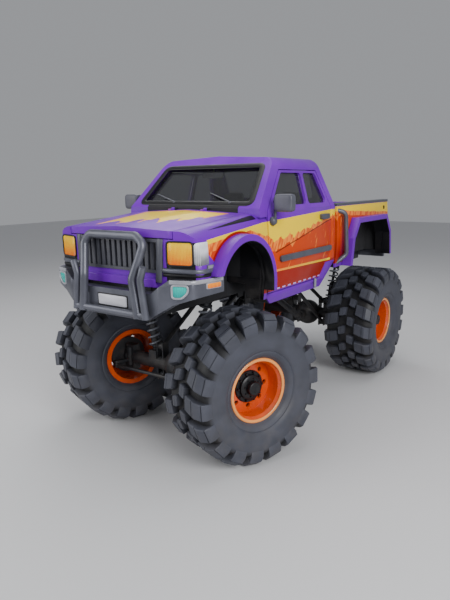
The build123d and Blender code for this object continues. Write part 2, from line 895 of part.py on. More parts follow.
with BuildPart() as hood:
    add(clip_shell.part)
    add(hood_prism(0, hood_rear_x), mode=Mode.INTERSECT)
    leaf_z = hood_hinge_z - barrel_radius - leaf_drop / 2 + leaf_lap
    for side in (-1, 1):
        with Locations((hood_hinge_x + leaf_length / 2, side * hood_hinge_y, leaf_z)):
            Box(leaf_length, 2 * barrel_half, leaf_drop + leaf_lap)
        with Locations((hood_hinge_x, side * hood_hinge_y, hood_hinge_z)):
            Cylinder(barrel_radius, 2 * barrel_half, rotation=(90, 0, 0))
    for side in (-1, 1):
        with Locations((hood_hinge_x, side * hood_hinge_y, hood_hinge_z)):
            Cylinder(hood_pin_radius + bearing_gap, 4 * barrel_half, rotation=(90, 0, 0), mode=Mode.SUBTRACT)
save(hood, "hood")

with BuildPart() as nose_panel:
    with Locations((clip_nose_x, 0, (nose_bottom_z + hood_lip_z - panel_gap) / 2)):
        Box(4 * clip_wall, 2 * (lamp_inner_y - nose_joint), hood_lip_z - panel_gap - nose_bottom_z)
    add(clip_shell.part, mode=Mode.INTERSECT)
    add(grille_prism(0, clip_nose_x - overrun, clip_nose_x + overrun), mode=Mode.SUBTRACT)
save(nose_panel, "nose_panel")

# Fenders: the rest of the shell, open for the lamps and clear of the cab's pillar
with BuildPart() as fender:
    add(clip_shell.part)
    with Locations((door_front_x, -beyond_y, roof_z / 2)):
        Box(4 * clip_nose_x, 2 * beyond_y, roof_z, mode=Mode.SUBTRACT)
    add(hood_prism(panel_gap, door_front_x), mode=Mode.SUBTRACT)
    with Locations((clip_nose_x, 0, roof_z / 2)):
        Box(4 * clip_wall, 2 * (lamp_inner_y - nose_joint + seat_gap), roof_z, mode=Mode.SUBTRACT)
    add(cab_volume(fender_skin, sill_z), mode=Mode.SUBTRACT)
    with Locations(((door_front_x + cab_front_x) / 2, 0, fender_top_rear_z - seat_gap + overrun)):
        Box(cab_front_x - door_front_x + 2 * seat_gap, 2 * beyond_y, 2 * overrun, mode=Mode.SUBTRACT)
    for _, y_inner, y_outer, x_rear in lamp_rows:
        add(lamp_prism(y_inner, y_outer, x_rear, 0), mode=Mode.SUBTRACT)
left_fender = fender.part
with BuildPart() as front_fenders:
    add(left_fender)
    mirror(about=Plane.XZ)
save(front_fenders, "front_fenders")

for name, y_inner, y_outer, x_rear in lamp_rows:
    with BuildPart() as lamps:
        add(lamp_prism(y_inner, y_outer, x_rear, seat_gap))
        add(clip_shell.part, mode=Mode.INTERSECT)
        mirror(about=Plane.XZ)
    save(lamps, name)

# Grille of upright bars in a frame
with BuildPart() as grille:
    add(grille_prism(seat_gap, clip_nose_x - clip_wall, clip_nose_x + grille_reach))
    add(grille_prism(grille_frame, clip_nose_x - clip_wall, clip_nose_x + grille_reach), mode=Mode.SUBTRACT)
    pitch = 2 * (grille_half_width - grille_frame) / grille_bar_count
    with Locations((clip_nose_x - clip_wall / 2, 0, (grille_top_z + grille_bottom_z) / 2)):
        with GridLocations(clip_wall, pitch, 1, grille_bar_count):
            Box(clip_wall, grille_bar, grille_top_z - grille_bottom_z - grille_frame)
save(grille, "grille")

# Inner fenders: a wall along the frame and a shelf over the wheel
with BuildPart() as inner_fenders:
    with BuildSketch(Plane.YZ.offset(cab_front_x)):
        with BuildLine():
            Polyline(
                (inner_wall_y, fender_bottom_z), (inner_wall_y + liner, fender_bottom_z),
                (inner_wall_y + liner, shelf_z), (shelf_outer_y, shelf_z), (shelf_outer_y, shelf_z + liner),
                (inner_wall_y, shelf_z + liner), close=True,
            )
        make_face()
    extrude(amount=clip_nose_x - clip_wall - cab_front_x - liner_front_gap)
    mirror(about=Plane.XZ)
save(inner_fenders, "inner_fenders")

# Flares round the four arches, seated on the skin
with BuildPart() as bed_side:
    with BuildSketch(Plane.YZ.offset(bed_rear_x)):
        with BuildLine():
            ThreePointArc((side_low_y, bed_bottom_z), (side_mid_y, side_mid_z), (belt_y, bed_top_z))
            Polyline((belt_y, bed_top_z), (bed_inner_y, bed_top_z), (bed_inner_y, bed_bottom_z),
                     (side_low_y, bed_bottom_z))
        make_face()
    extrude(amount=bed_length)
bed_side_block = bed_side.part

with BuildPart() as fender_flares:
    flare_y = (side_mid_y + flare_reach, side_low_y - flare_bed)
    add(arch_prism(flare_width, flare_rear_z, *flare_y))
    add(arch_prism(0, flare_rear_z, *flare_y), mode=Mode.SUBTRACT)
    with Locations((arch_centre_x + arch_radius, side_mid_y, flare_front_z / 2)):
        Box(2 * arch_radius, 4 * flare_reach, flare_front_z, mode=Mode.SUBTRACT)
    with Locations((arch_centre_x, side_mid_y, flare_rear_z / 2)):
        Box(4 * arch_radius, 4 * flare_reach, flare_rear_z, mode=Mode.SUBTRACT)
    add(clip_outer, mode=Mode.SUBTRACT)
    with BuildPart(mode=Mode.PRIVATE) as rear_flare:
        add(bed_arch_prism(flare_width, bed_bottom_z, *flare_y))
        add(bed_arch_prism(0, bed_bottom_z - overrun, *flare_y), mode=Mode.SUBTRACT)
        add(bed_side_block, mode=Mode.SUBTRACT)
    add(rear_flare.part)
    mirror(about=Plane.XZ)
save(fender_flares, "fender_flares")

# Bumper: a plan band wrapped round the nose, trimmed in front view
with BuildPart() as bumper_band:
    corner_x = bumper_front_x - bumper_corner_run
    back_x = bumper_front_x - bumper_depth
    outside = (
        # x, y of the left half, nose to end
        (bumper_front_x, bumper_half_flat),
        (corner_x, bumper_end_y - bumper_corner_in),
        (bumper_end_x, bumper_end_y),
    )
    inside = (
        # x, y of the left half, end to nose
        (bumper_end_x, bumper_end_y),
        (bumper_end_x, bumper_end_y - bumper_wing),
        (corner_x - bumper_corner_run, bumper_end_y - 2 * bumper_wing),
        (back_x, bumper_half_flat),
    )
    with BuildSketch(Plane.XY.offset(bumper_bottom_z)):
        with BuildLine():
            right = [(x, -y) for x, y in reversed(outside)]
            FilletPolyline(*right, *outside, radius=bumper_bend)
            Polyline(*inside, *[(x, -y) for x, y in reversed(inside)])
        make_face()
    extrude(amount=bumper_top_z - bumper_bottom_z)
    front_view = (
        # y, z of the left half, underside to top
        (0, bumper_bottom_z),
        (bumper_centre_half, bumper_bottom_z),
        (bumper_centre_half + bumper_rise_run, bumper_bottom_z + bumper_rise),
        (bumper_end_y + panel_gap, bumper_end_low_z),
        (bumper_end_y + panel_gap, bumper_top_z),
        (bumper_half_flat + bumper_wing_start, bumper_top_z),
        (bumper_half_flat - bumper_step, bumper_centre_top_z),
        (0, bumper_centre_top_z),
    )
    with BuildSketch(Plane.YZ.offset(bumper_end_x - overrun)):
        with BuildLine():
            Polyline(*front_view)
            mirror(about=Plane.YZ)
        make_face()
    extrude(amount=nose_x - bumper_end_x + overrun, mode=Mode.INTERSECT)
    add(clip_outer, mode=Mode.SUBTRACT)


def fog_prism(shrink):
    """Front view of the left fog lamp, a rounded block with its lower outer corner cut off."""
    inner_y = fog_y - fog_length / 2
    outer_y = fog_y + fog_length / 2
    low_z = fog_z - fog_height / 2
    with BuildPart() as prism:
        with BuildSketch(Plane.YZ.offset(bumper_end_x + overrun)):
            with BuildLine():
                Polyline((inner_y, low_z), (outer_y - fog_cut, low_z), (outer_y, low_z + fog_cut),
                         (outer_y, low_z + fog_height), (inner_y, low_z + fog_height), close=True)
            make_face()
            fillet(vertices(), fog_corner)
            offset(amount=-shrink, kind=Kind.INTERSECTION)
        extrude(amount=nose_x - bumper_end_x)
    return prism.part


with BuildPart() as front_bumper:
    add(bumper_band.part)
    add(fog_prism(0), mode=Mode.SUBTRACT)
    add(fog_prism(0).mirror(Plane.XZ), mode=Mode.SUBTRACT)
save(front_bumper, "front_bumper")
with BuildPart() as fog_lamps:
    add(bumper_band.part)
    add(fog_prism(seat_gap), mode=Mode.INTERSECT)
    mirror(about=Plane.XZ)
save(fog_lamps, "fog_lamps")

# Bull bar: waisted hoop that leans back to the grille, short posts, a cross tube and brackets
with BuildPart() as bull_bar:
    bar_x = nose_x - bull_tube_radius
    hoop_rows = (
        # x, half width, z, foot to top
        (bar_x, hoop_foot_y, hoop_foot_z),
        (bar_x, hoop_waist_y, hoop_waist_z),
        (hoop_top_x, hoop_top_y, hoop_shoulder_z),
        (hoop_top_x, hoop_top_y - hoop_corner, hoop_top_z),
    )
    with BuildLine() as hoop:
        left = [(x, y, z) for x, y, z in hoop_rows]
        right = [(x, -y, z) for x, y, z in reversed(hoop_rows)]
        FilletPolyline(*left, *right, radius=bull_bend)
    with BuildSketch(Plane(hoop.line @ 0, z_dir=hoop.line % 0)):
        Circle(bull_tube_radius)
    sweep(path=hoop.line)
    for side in (-1, 1):
        post_rows = (
            # x, y, z, foot to top
            (bar_x, side * (hoop_foot_y + post_step), hoop_foot_z),
            (bar_x, side * (hoop_waist_y + post_step), hoop_waist_z),
            (bar_x, side * (hoop_waist_y + post_step + post_lean), post_top_z),
        )
        with BuildLine() as post:
            FilletPolyline(*post_rows, radius=bull_bend)
        with BuildSketch(Plane(post.line @ 0, z_dir=post.line % 0)):
            Circle(post_radius)
        sweep(path=post.line)
        with Locations((bar_x - bracket_reach / 2, side * hoop_bracket_y, hoop_bracket_z)):
            Box(bracket_reach, bracket_width, bracket_height)
    with Locations((bar_x, 0, hoop_foot_z + cross_tube_rise)):
        Cylinder(cross_tube_radius, 2 * (hoop_foot_y + post_step + cross_tube_end), rotation=(90, 0, 0))
    add(bumper_band.part, mode=Mode.SUBTRACT)
save(bull_bar, "bull_bar")

# Load bed
with BuildPart() as bed_sides:
    add(bed_side_block)
    add(bed_arch_prism(0, bed_bottom_z - overrun, beyond_y, sill_inner_y), mode=Mode.SUBTRACT)
    with Locations((gate_hinge_x, bed_inner_y - gate_pin_reach / 2, gate_hinge_z)):
        Cylinder(gate_pin_radius, gate_pin_reach, rotation=(90, 0, 0))
    mirror(about=Plane.XZ)
save(bed_sides, "bed_sides")

with BuildPart() as bed_floor:
    floor_rear_x = bed_rear_x + tailgate_thickness + 2 * panel_gap
    floor_front_x = bed_front_x - headboard_thickness
    with Locations(((floor_front_x + floor_rear_x) / 2, 0, (rail_top_z + bed_floor_top_z) / 2)):
        Box(floor_front_x - floor_rear_x, 2 * bed_inner_y, bed_floor_top_z - rail_top_z)
    tub_height = tub_top_z - rail_top_z
    for wall, mode in ((0, Mode.ADD), (tub_wall, Mode.SUBTRACT)):
        for side in (-1, 1):
            middle_y = side * (bed_inner_y - (tub_depth - wall) / 2)
            with Locations((bed_arch_centre_x, middle_y, rail_top_z + (tub_height - wall) / 2)):
                Box(2 * (tub_half - wall), tub_depth - wall, tub_height - wall, mode=mode)
save(bed_floor, "bed_floor")

with BuildPart() as bed_headboard:
    with Locations((bed_front_x - headboard_thickness / 2, 0, (rail_top_z + bed_top_z) / 2)):
        Box(headboard_thickness, 2 * bed_inner_y, bed_top_z - rail_top_z)
save(bed_headboard, "bed_headboard")

# Tailgate with a sunk outer panel and a hand recess above its middle
with BuildPart() as tailgate:
    gate_z = (bed_floor_top_z + bed_top_z) / 2
    gate_width = 2 * (bed_inner_y - panel_gap)
    gate_height = bed_top_z - bed_floor_top_z - 2 * panel_gap
    with Locations((bed_rear_x + tailgate_thickness / 2, 0, gate_z)):
        Box(tailgate_thickness, gate_width, gate_height)
    with BuildSketch(Plane.YZ.offset(bed_rear_x)):
        with Locations((0, gate_z)):
            panel = (gate_width - 2 * gate_panel_border, gate_height - 2 * gate_panel_border)
            RectangleRounded(*panel, gate_panel_corner)
    extrude(amount=gate_panel_depth, mode=Mode.SUBTRACT)
    with BuildSketch(Plane.YZ.offset(bed_rear_x)):
        with Locations((0, gate_z + gate_height / 2 - gate_handle_drop)):
            SlotOverall(gate_handle_length, gate_handle_height)
    extrude(amount=gate_handle_depth, mode=Mode.SUBTRACT)
    for side in (-1, 1):
        with Locations((gate_hinge_x, side * (bed_inner_y - gate_pin_reach / 2), gate_hinge_z)):
            Cylinder(gate_pin_radius + bearing_gap, gate_pin_reach + running_gap, rotation=(90, 0, 0),
                     mode=Mode.SUBTRACT)
save(tailgate, "tailgate")

with BuildPart() as bed_rail_caps:
    with Locations(((bed_front_x + bed_rear_x) / 2, (bed_inner_y + belt_y) / 2, bed_top_z + rail_cap / 2)):
        Box(bed_length, belt_y - bed_inner_y + 2 * rail_cap_lip, rail_cap)
    fillet(edges().filter_by(Axis.X).group_by(Axis.Z)[-1], rail_cap_round)
    mirror(about=Plane.XZ)
save(bed_rail_caps, "bed_rail_caps")

with BuildPart() as tail_lamps:
    with Locations((bed_rear_x - tail_lamp_depth / 2, bed_inner_y + bed_wall / 2, tail_lamp_z)):
        Box(tail_lamp_depth, bed_wall - 2 * panel_gap, tail_lamp_height)
    mirror(about=Plane.XZ)
save(tail_lamps, "tail_lamps")

with BuildPart() as rear_bumper:
    left = (
        # x, y of the left half, tail to bed
        (tail_x, rear_bumper_half - rear_bumper_corner),
        (tail_x + rear_bumper_taper, rear_bumper_half),
        (bed_rear_x, rear_bumper_half),
    )
    with BuildSketch(Plane.XY.offset(rear_bumper_low_z)):
        with BuildLine():
            Polyline(*[(x, -y) for x, y in reversed(left)], *left, close=True)
        make_face()
    extrude(amount=rear_bumper_height)
    with Locations((tail_x + tow_pin_inset, 0, rear_bumper_low_z)):
        Cylinder(tow_pin_radius, 4 * rear_bumper_height, mode=Mode.SUBTRACT)
save(rear_bumper, "rear_bumper")

# Bent side bars over the joint of cab and bed, ending on the bed sides
with BuildPart() as side_bars:
    with BuildLine() as bar_path:
        bar_points = [(bed_front_x + dx, side_mid_y + dy, z) for dx, dy, z in side_bar_points]
        FilletPolyline(*bar_points, radius=side_bar_bend)
    with BuildSketch(Plane(bar_path.line @ 0, z_dir=bar_path.line % 0)):
        Circle(side_bar_radius)
    sweep(path=bar_path.line)
    add(bed_side_block, mode=Mode.SUBTRACT)
    mirror(about=Plane.XZ)
save(side_bars, "side_bars")

# Interior
with BuildPart() as dashboard:
    with BuildSketch(Plane.XZ):
        with BuildLine():
            dash_x = cab_front_x - cab_wall
            face_x = dash_x - dash_depth
            Polyline((dash_x, dash_low_z), (dash_x - dash_foot, dash_low_z),
                     (face_x, dash_low_z + dash_face_rise), (face_x + dash_brow, dash_top_z - dash_brow),
                     (dash_x - dash_ledge, dash_top_z), (dash_x, dash_top_z), close=True)
        make_face()
    extrude(amount=dash_half_width, both=True)
save(dashboard, "dashboard")

wheel_tilt = math.radians(wheel_tilt_deg)
wheel_hub = (wheel_hub_x, wheel_hub_y, wheel_hub_z)
wheel_plane = Plane(wheel_hub, z_dir=(-math.cos(wheel_tilt), 0, math.sin(wheel_tilt)))
with BuildPart() as steering_wheel:
    with BuildSketch(wheel_plane.offset(-wheel_tube)):
        Circle(wheel_ring + wheel_tube)
        Circle(wheel_ring - wheel_tube, mode=Mode.SUBTRACT)
        Rectangle(2 * wheel_ring, 2 * wheel_tube)
        Circle(wheel_boss)
    extrude(amount=2 * wheel_tube)
    with BuildSketch(wheel_plane):
        Circle(column_radius)
    extrude(amount=-column_length)
    add(dashboard.part, mode=Mode.SUBTRACT)
    with Locations((cab_front_x, wheel_hub_y, wheel_hub_z)):
        Box(2 * (cab_front_x - dash_x + dash_depth / 2), column_length, 2 * column_length, mode=Mode.SUBTRACT)
save(steering_wheel, "steering_wheel")

with BuildPart() as seats:
    with BuildSketch(side_plane(seat_y + seat_width / 2)):
        with BuildLine():
            back_top_x = seat_rear_x - back_recline
            back_top_z = floor_z + seat_height
            Polyline((seat_front_x, floor_z), (seat_front_x + cushion_nose, floor_z + cushion_face),
                     (seat_front_x, floor_z + cushion_top), (seat_rear_x + back_foot, floor_z + cushion_rear),
                     (back_top_x + back_thickness, back_top_z), (back_top_x, back_top_z),
                     (seat_rear_x + cushion_nose, floor_z + back_base), (seat_rear_x + seat_base, floor_z),
                     close=True)
        make_face()
    extrude(amount=seat_width)
    mirror(about=Plane.XZ)
save(seats, "seats")

# Ladder frame with its crossmembers and link hangers

def hanger_plates(x, y, z, top_z, width):
    """Two plates and a pin that carry a link eye, reaching up or down to top_z."""
    reach = math.copysign(link_eye_radius + bracket_edge, z - top_z)
    for side in (-1, 1):
        offset_y = y + side * (link_eye_width / 2 + seat_gap + bracket_plate / 2)
        with Locations((x, offset_y, (z + reach + top_z) / 2)):
            Box(width, bracket_plate, abs(z + reach - top_z))
    with Locations((x, y, z)):
        Cylinder(link_pin_radius, link_eye_width + 2 * seat_gap + bracket_plate, rotation=(90, 0, 0))


axle_rows = (
    # name, axle x, direction from the axle to the middle of the truck
    ("front", front_axle_x, -1),
    ("rear", rear_axle_x, 1),
)
link_rows = (
    # axle height, span, frame height
    (lower_link_axle_z, lower_link_span, lower_link_frame_z),
    (upper_link_axle_z, upper_link_span, upper_link_frame_z),
)
link_span = (lower_link_span + upper_link_span) / 2
link_cross = lower_link_span - upper_link_span + cross_spread
cross_rows = (
    # middle x, length along x
    (radiator_x, cross_length),
    (engine_rear_x + engine_length - engine_mount_front, cross_length),
    (engine_rear_x + engine_mount_rear, cross_length),
    (front_axle_x - link_span, link_cross),
    (transfer_x, 2 * cross_length),
    (rear_axle_x + link_span, link_cross),
    (rail_rear_x + cross_length, cross_length),
)
with BuildPart() as chassis_frame:
    for side in (-1, 1):
        with Locations(((rail_front_x + rail_rear_x) / 2, side * rail_y, (rail_bottom_z + rail_top_z) / 2)):
            Box(rail_front_x - rail_rear_x, rail_width, rail_top_z - rail_bottom_z)
    for x, length in cross_rows:
        with Locations((x, 0, rail_bottom_z + cross_height / 2)):
            Box(length, 2 * rail_y, cross_height)
    for _, axle_x, inward in axle_rows:
        for _, span, frame_z in link_rows:
            eye_x = axle_x + inward * span
            for side in (-1, 1):
                hanger_plates(eye_x, side * link_y, frame_z, rail_bottom_z, frame_bracket_length)
save(chassis_frame, "chassis_frame")


# Axles, with diff, link brackets and spring seats

def finned_drum(x, y, z, outward):
    """Adds a brake drum with cooling fins round it, the hub side facing outward along Y."""
    fin_pitch = (drum_outer - drum_inner - drum_fin) / (drum_fin_count - 1)
    with Locations((x, y + outward * (drum_inner + drum_outer) / 2, z)):
        Cylinder(drum_radius - drum_groove, drum_outer - drum_inner, rotation=(90, 0, 0))
    for fin in range(drum_fin_count):
        with Locations((x, y + outward * (drum_inner + drum_fin / 2 + fin * fin_pitch), z)):
            Cylinder(drum_radius, drum_fin, rotation=(90, 0, 0))


def beam_axle(axle_x, inward, tube_half):
    """Adds one beam axle to the part in hand."""
    with Locations((axle_x, 0, axle_z)):
        Cylinder(axle_tube_radius, 2 * tube_half, rotation=(90, 0, 0))
    with Locations((axle_x + inward * diff_setback, 0, axle_z)):
        Sphere(diff_radius)
    with Locations((axle_x + inward * (diff_setback + pinion_reach / 2), 0, axle_z)):
        Cylinder(pinion_radius, pinion_reach, rotation=(0, 90, 0))
    for z, _, _ in link_rows:
        for side in (-1, 1):
            hanger_plates(axle_x, side * link_y, z, axle_z, axle_bracket_length)
    for side in (-1, 1):
        with Locations((axle_x, side * spring_y, (axle_z + spring_seat_z) / 2)):
            Box(spring_seat_length, spring_seat_width, spring_seat_z - axle_z)


with BuildPart() as front_axle:
    beam_axle(front_axle_x, -1, kingpin_y - fork_reach)
    for side in (-1, 1):
        with Locations((front_axle_x, side * (kingpin_y - fork_reach + fork_web / 2), axle_z)):
            Box(fork_width, fork_web, 2 * fork_outer)
        for end in (-1, 1):
            plate_z = axle_z + end * (fork_outer + fork_inner) / 2
            with Locations((front_axle_x, side * (kingpin_y - fork_reach / 2), plate_z)):
                Box(fork_width, fork_reach, fork_plate)
            with Locations((front_axle_x, side * kingpin_y, plate_z)):
                Cylinder(fork_width / 2, fork_plate)
        with Locations((front_axle_x, side * kingpin_y, axle_z)):
            Cylinder(kingpin_radius, 2 * fork_outer)
save(front_axle, "front_axle")

with BuildPart() as rear_axle:
    beam_axle(rear_axle_x, 1, half_track + drum_inner)
    for side in (-1, 1):
        finned_drum(rear_axle_x, side * half_track, axle_z, side)
        with Locations((rear_axle_x, side * (half_track + (drum_inner + spindle_end) / 2), axle_z)):
            Cylinder(spindle_radius, spindle_end - drum_inner, rotation=(90, 0, 0))
save(rear_axle, "rear_axle")

# Links between axles and frame
with BuildPart() as suspension_links:
    for _, axle_x, inward in axle_rows:
        for axle_end_z, span, frame_z in link_rows:
            start = Vector(axle_x, link_y, axle_end_z)
            end = Vector(axle_x + inward * span, link_y, frame_z)
            with BuildPart(mode=Mode.PRIVATE) as link:
                with BuildSketch(Plane(start, z_dir=end - start)):
                    Circle(link_radius)
                extrude(amount=(end - start).length)
                for eye in (start, end):
                    with Locations(eye):
                        Cylinder(link_eye_radius, link_eye_width, rotation=(90, 0, 0))
                for eye in (start, end):
                    with Locations(eye):
                        Cylinder(link_pin_radius + seat_gap, link_eye_width, rotation=(90, 0, 0),
                                 mode=Mode.SUBTRACT)
            add(link.part)
    mirror(about=Plane.XZ)
save(suspension_links, "suspension_links")

# Springs over dampers, from the axle seats up to the rails
with BuildPart() as coilovers:
    for _, axle_x, _ in axle_rows:
        foot = Vector(axle_x, spring_y, spring_seat_z)
        top = Vector(axle_x, spring_top_y, rail_bottom_z)
        along = (top - foot).normalized()
        with BuildPart(mode=Mode.PRIVATE) as coilover:
            with BuildSketch(Plane(foot - along * damper_radius, z_dir=along)):
                Circle(damper_radius)
            extrude(amount=(top - foot).length + 2 * damper_radius)
            with BuildSketch(Plane(foot + along * spring_end, z_dir=along)):
                Circle(spring_core)
            spring_length = (top - foot).length - 2 * spring_end
            extrude(amount=spring_length)
            coil_count = round(spring_length / spring_pitch)
            coil_step = (spring_length - spring_wire) / (coil_count - 1)
            for coil in range(coil_count):
                with BuildSketch(Plane(foot + along * (spring_end + coil * coil_step), z_dir=along)):
                    Circle(spring_radius)
                extrude(amount=spring_wire)
            with Locations((axle_x, 0, (spring_seat_z + rail_bottom_z) / 2)):
                Box(4 * spring_radius, 2 * half_track, rail_bottom_z - spring_seat_z, mode=Mode.INTERSECT)
        add(coilover.part)
    mirror(about=Plane.XZ)
save(coilovers, "coilovers")

# Engine, gearbox, transfer case and radiator as plain blocks on their crossmembers
cross_top_z = rail_bottom_z + cross_height
block_rows = (
    # name, rear x, length, half width, bottom z, top z
    ("engine", engine_rear_x, engine_length, engine_half_width, cross_top_z, engine_top_z),
    ("gearbox", gearbox_rear_x, gearbox_length, gearbox_half_width, gearbox_low_z,
     rail_top_z - gearbox_top_gap),
    ("transfer_case", transfer_x - transfer_half_length, 2 * transfer_half_length, transfer_half_width,
     transfer_low_z, rail_bottom_z),
    ("radiator", radiator_x - radiator_thickness / 2, radiator_thickness, radiator_half_width, cross_top_z,
     radiator_top_z),
)
for name, x_rear, length, half_width, z_low, z_high in block_rows:
    with BuildPart() as block:
        with Locations((x_rear + length / 2, 0, (z_low + z_high) / 2)):
            Box(length, 2 * half_width, z_high - z_low)
        if name == "gearbox":
            add(chassis_frame.part, mode=Mode.SUBTRACT)
    save(block, name)

# Drive shafts with a ball at each joint
shaft_rows = (
    # start x, start z, end x, end z
    (gearbox_rear_x, gear_output_z, transfer_x + transfer_half_length, gear_output_z),
    (front_axle_x - diff_setback - pinion_reach, axle_z, transfer_x + transfer_half_length, drive_output_z),
    (rear_axle_x + diff_setback + pinion_reach, axle_z, transfer_x - transfer_half_length, drive_output_z),
)
with BuildPart() as driveshafts:
    for x0, z0, x1, z1 in shaft_rows:
        step = math.copysign(joint_ball_radius + seat_gap, x1 - x0)
        start = Vector(x0 + step, 0, z0)
        end = Vector(x1 - step, 0, z1)
        with Locations(start, end):
            Sphere(joint_ball_radius)
        with BuildSketch(Plane(start, z_dir=end - start)):
            Circle(shaft_radius)
        extrude(amount=(end - start).length)
save(driveshafts, "driveshafts")


# Wheels, built upright with the outer side towards +Y, then placed

def tread_ring(rows, sides, mode):
    """Adds or cuts a ring of flat sides about Y, from half a profile of (flat radius, offset) rows."""
    rings = [(radius, -w) for radius, w in reversed(rows)] + list(rows)
    sections = []
    for radius, w in rings:
        with BuildSketch(side_plane(w)) as section:
            RegularPolygon(radius, sides, major_radius=False, rotation=180 / sides)
        sections.append(section.sketch)
    loft(sections=sections, ruled=True, mode=mode)


bead_w = rim_width / 2 - rim_lip_width
crown = tyre_radius - lug_height
casing_rows = (
    # flat radius, offset from the middle, crown to bead
    (crown, casing_shoulder),
    (crown - casing_bevel, tyre_width / 2 - wall_inset),
    (crown - casing_side, tyre_width / 2 - wall_inset / 2),
    (rim_lip_radius + wall_step, rim_width / 2 + wall_bulge),
    (rim_lip_radius + bead_step, bead_w),
)
cavity_rows = (
    # flat radius, offset from the middle, crown to bead
    (crown - casing_wall, casing_shoulder - casing_wall),
    (crown - casing_bevel - casing_wall, tyre_width / 2 - wall_inset - casing_wall),
    (crown - casing_side, tyre_width / 2 - wall_inset / 2 - casing_wall),
    (rim_lip_radius + casing_wall, bead_w - bead_width),
)
lug_rows = (
    # radius, offset from the middle, round the outline
    (crown - lug_sink, lug_inner),
    (lug_top, lug_inner),
    (lug_top, lug_flat),
    (crown, tyre_width / 2),
    (crown - lug_foot, tyre_width / 2 - wall_inset / 2 - lug_sink),
    (crown - casing_bevel - lug_sink, tyre_width / 2 - wall_inset - lug_sink),
    (crown - lug_sink, casing_shoulder - lug_sink),
)

# One lug, leaning in plan and sloping over the shoulder, then a row of them each side half a pitch apart
with BuildPart() as lug:
    middle_w = (lug_inner + lug_flat) / 2
    shifts = [(w, lug_lean * (middle_w - w)) for w in (lug_inner, tyre_width / 2)]
    near = [(w, shift - lug_width / 2) for w, shift in shifts]
    far = [(w, shift + lug_width / 2) for w, shift in reversed(shifts)]
    with BuildSketch(Plane.YZ.offset(crown - lug_foot - lug_sink)):
        with BuildLine():
            Polyline(*near, *far, close=True)
        make_face()
    extrude(amount=lug_foot + lug_sink + lug_height)
    with BuildSketch(Plane.XY):
        Polygon(*lug_rows, align=None)
    extrude(amount=lug_width, both=True, mode=Mode.INTERSECT)

with BuildPart() as tyre:
    tread_ring(casing_rows, tread_sides, Mode.ADD)
    tread_ring(cavity_rows, lug_count, Mode.SUBTRACT)
    with BuildSketch(side_plane(rim_width)):
        RegularPolygon(rim_bead_radius + seat_gap, lug_count, major_radius=False, rotation=180 / lug_count)
    extrude(amount=2 * rim_width, mode=Mode.SUBTRACT)
    for turn in range(lug_count):
        add(lug.part.rotate(Axis.Y, turn * 360 / lug_count))
        add(lug.part.mirror(Plane.XZ).rotate(Axis.Y, (turn + 0.5) * 360 / lug_count))

with BuildPart() as right_tyre:
    mirror(tyre.part, about=Plane.XY)

with BuildPart() as rim:
    lip = rim_width / 2
    flange = bead_w + seat_gap
    seat = lip - rim_lip_width - rim_seat_width
    disc_w = lip - rim_disc_depth
    disc_back = disc_w - rim_disc_thickness
    boss_w = disc_w + hub_boss
    with BuildSketch(Plane.XY):
        Polygon(
            (rim_bore_radius, -lip), (rim_lip_radius, -lip), (rim_lip_radius, -flange),
            (rim_bead_radius, -flange), (rim_bead_radius, -seat), (rim_barrel_radius, rim_well - seat),
            (rim_barrel_radius, seat - rim_well), (rim_bead_radius, seat), (rim_bead_radius, flange),
            (rim_lip_radius, flange), (rim_lip_radius, lip), (rim_lip_radius - rim_lip_chamfer, lip),
            (rim_bore_radius, lip - rim_lip_slope), align=None,
        )
        disc_edge = (rim_bore_radius + rim_barrel_radius) / 2
        Polygon(
            (0, hub_inner), (hub_radius, hub_inner), (hub_radius, disc_back),
            (disc_edge, disc_back - rim_disc_dish), (disc_edge, disc_w - rim_disc_dish), (hub_radius, disc_w),
            (hub_radius, boss_w - hub_bevel / 2), (hub_radius - hub_bevel, boss_w), (hub_cap_radius, boss_w),
            (hub_cap_radius - hub_cap_taper, disc_w + hub_cap_reach), (0, disc_w + hub_cap_reach), align=None,
        )
    revolve(axis=Axis.Y)
    with Locations(Location((0, (hub_inner + spindle_end + running_gap) / 2, 0), (90, 0, 0))):
        Cylinder(spindle_radius + bearing_gap, spindle_end + running_gap - hub_inner, mode=Mode.SUBTRACT)
    with Locations(Location((0, disc_w, 0), (90, 0, 0))):
        with PolarLocations(hand_hole_circle, hand_hole_count):
            Cylinder(hand_hole_radius, rim_disc_depth, mode=Mode.SUBTRACT)


def knuckle(forward):
    """Steering knuckle at a wheel centre: kingpin boss, drum, spindle and an arm that points forward."""
    with BuildPart() as body:
        with Locations((0, -kingpin_offset, 0)):
            Cylinder(boss_radius, 2 * boss_half)
        finned_drum(0, 0, 0, 1)
        with Locations((0, (spindle_end - kingpin_offset) / 2, 0)):
            Cylinder(spindle_radius, spindle_end + kingpin_offset, rotation=(90, 0, 0))
        with BuildSketch(Plane.XY.offset(arm_low_z)):
            with Locations((forward * steer_arm_length / 2, -kingpin_offset)):
                SlotCenterToCenter(steer_arm_length, 2 * ball_radius)
        extrude(amount=arm_thickness)
        with Locations((forward * steer_arm_length, -kingpin_offset, arm_low_z - rod_drop / 2)):
            Cylinder(rod_pin_radius, rod_drop)
        with Locations((0, -kingpin_offset, 0)):
            Cylinder(kingpin_radius + bearing_gap, 4 * boss_half, mode=Mode.SUBTRACT)
    return body


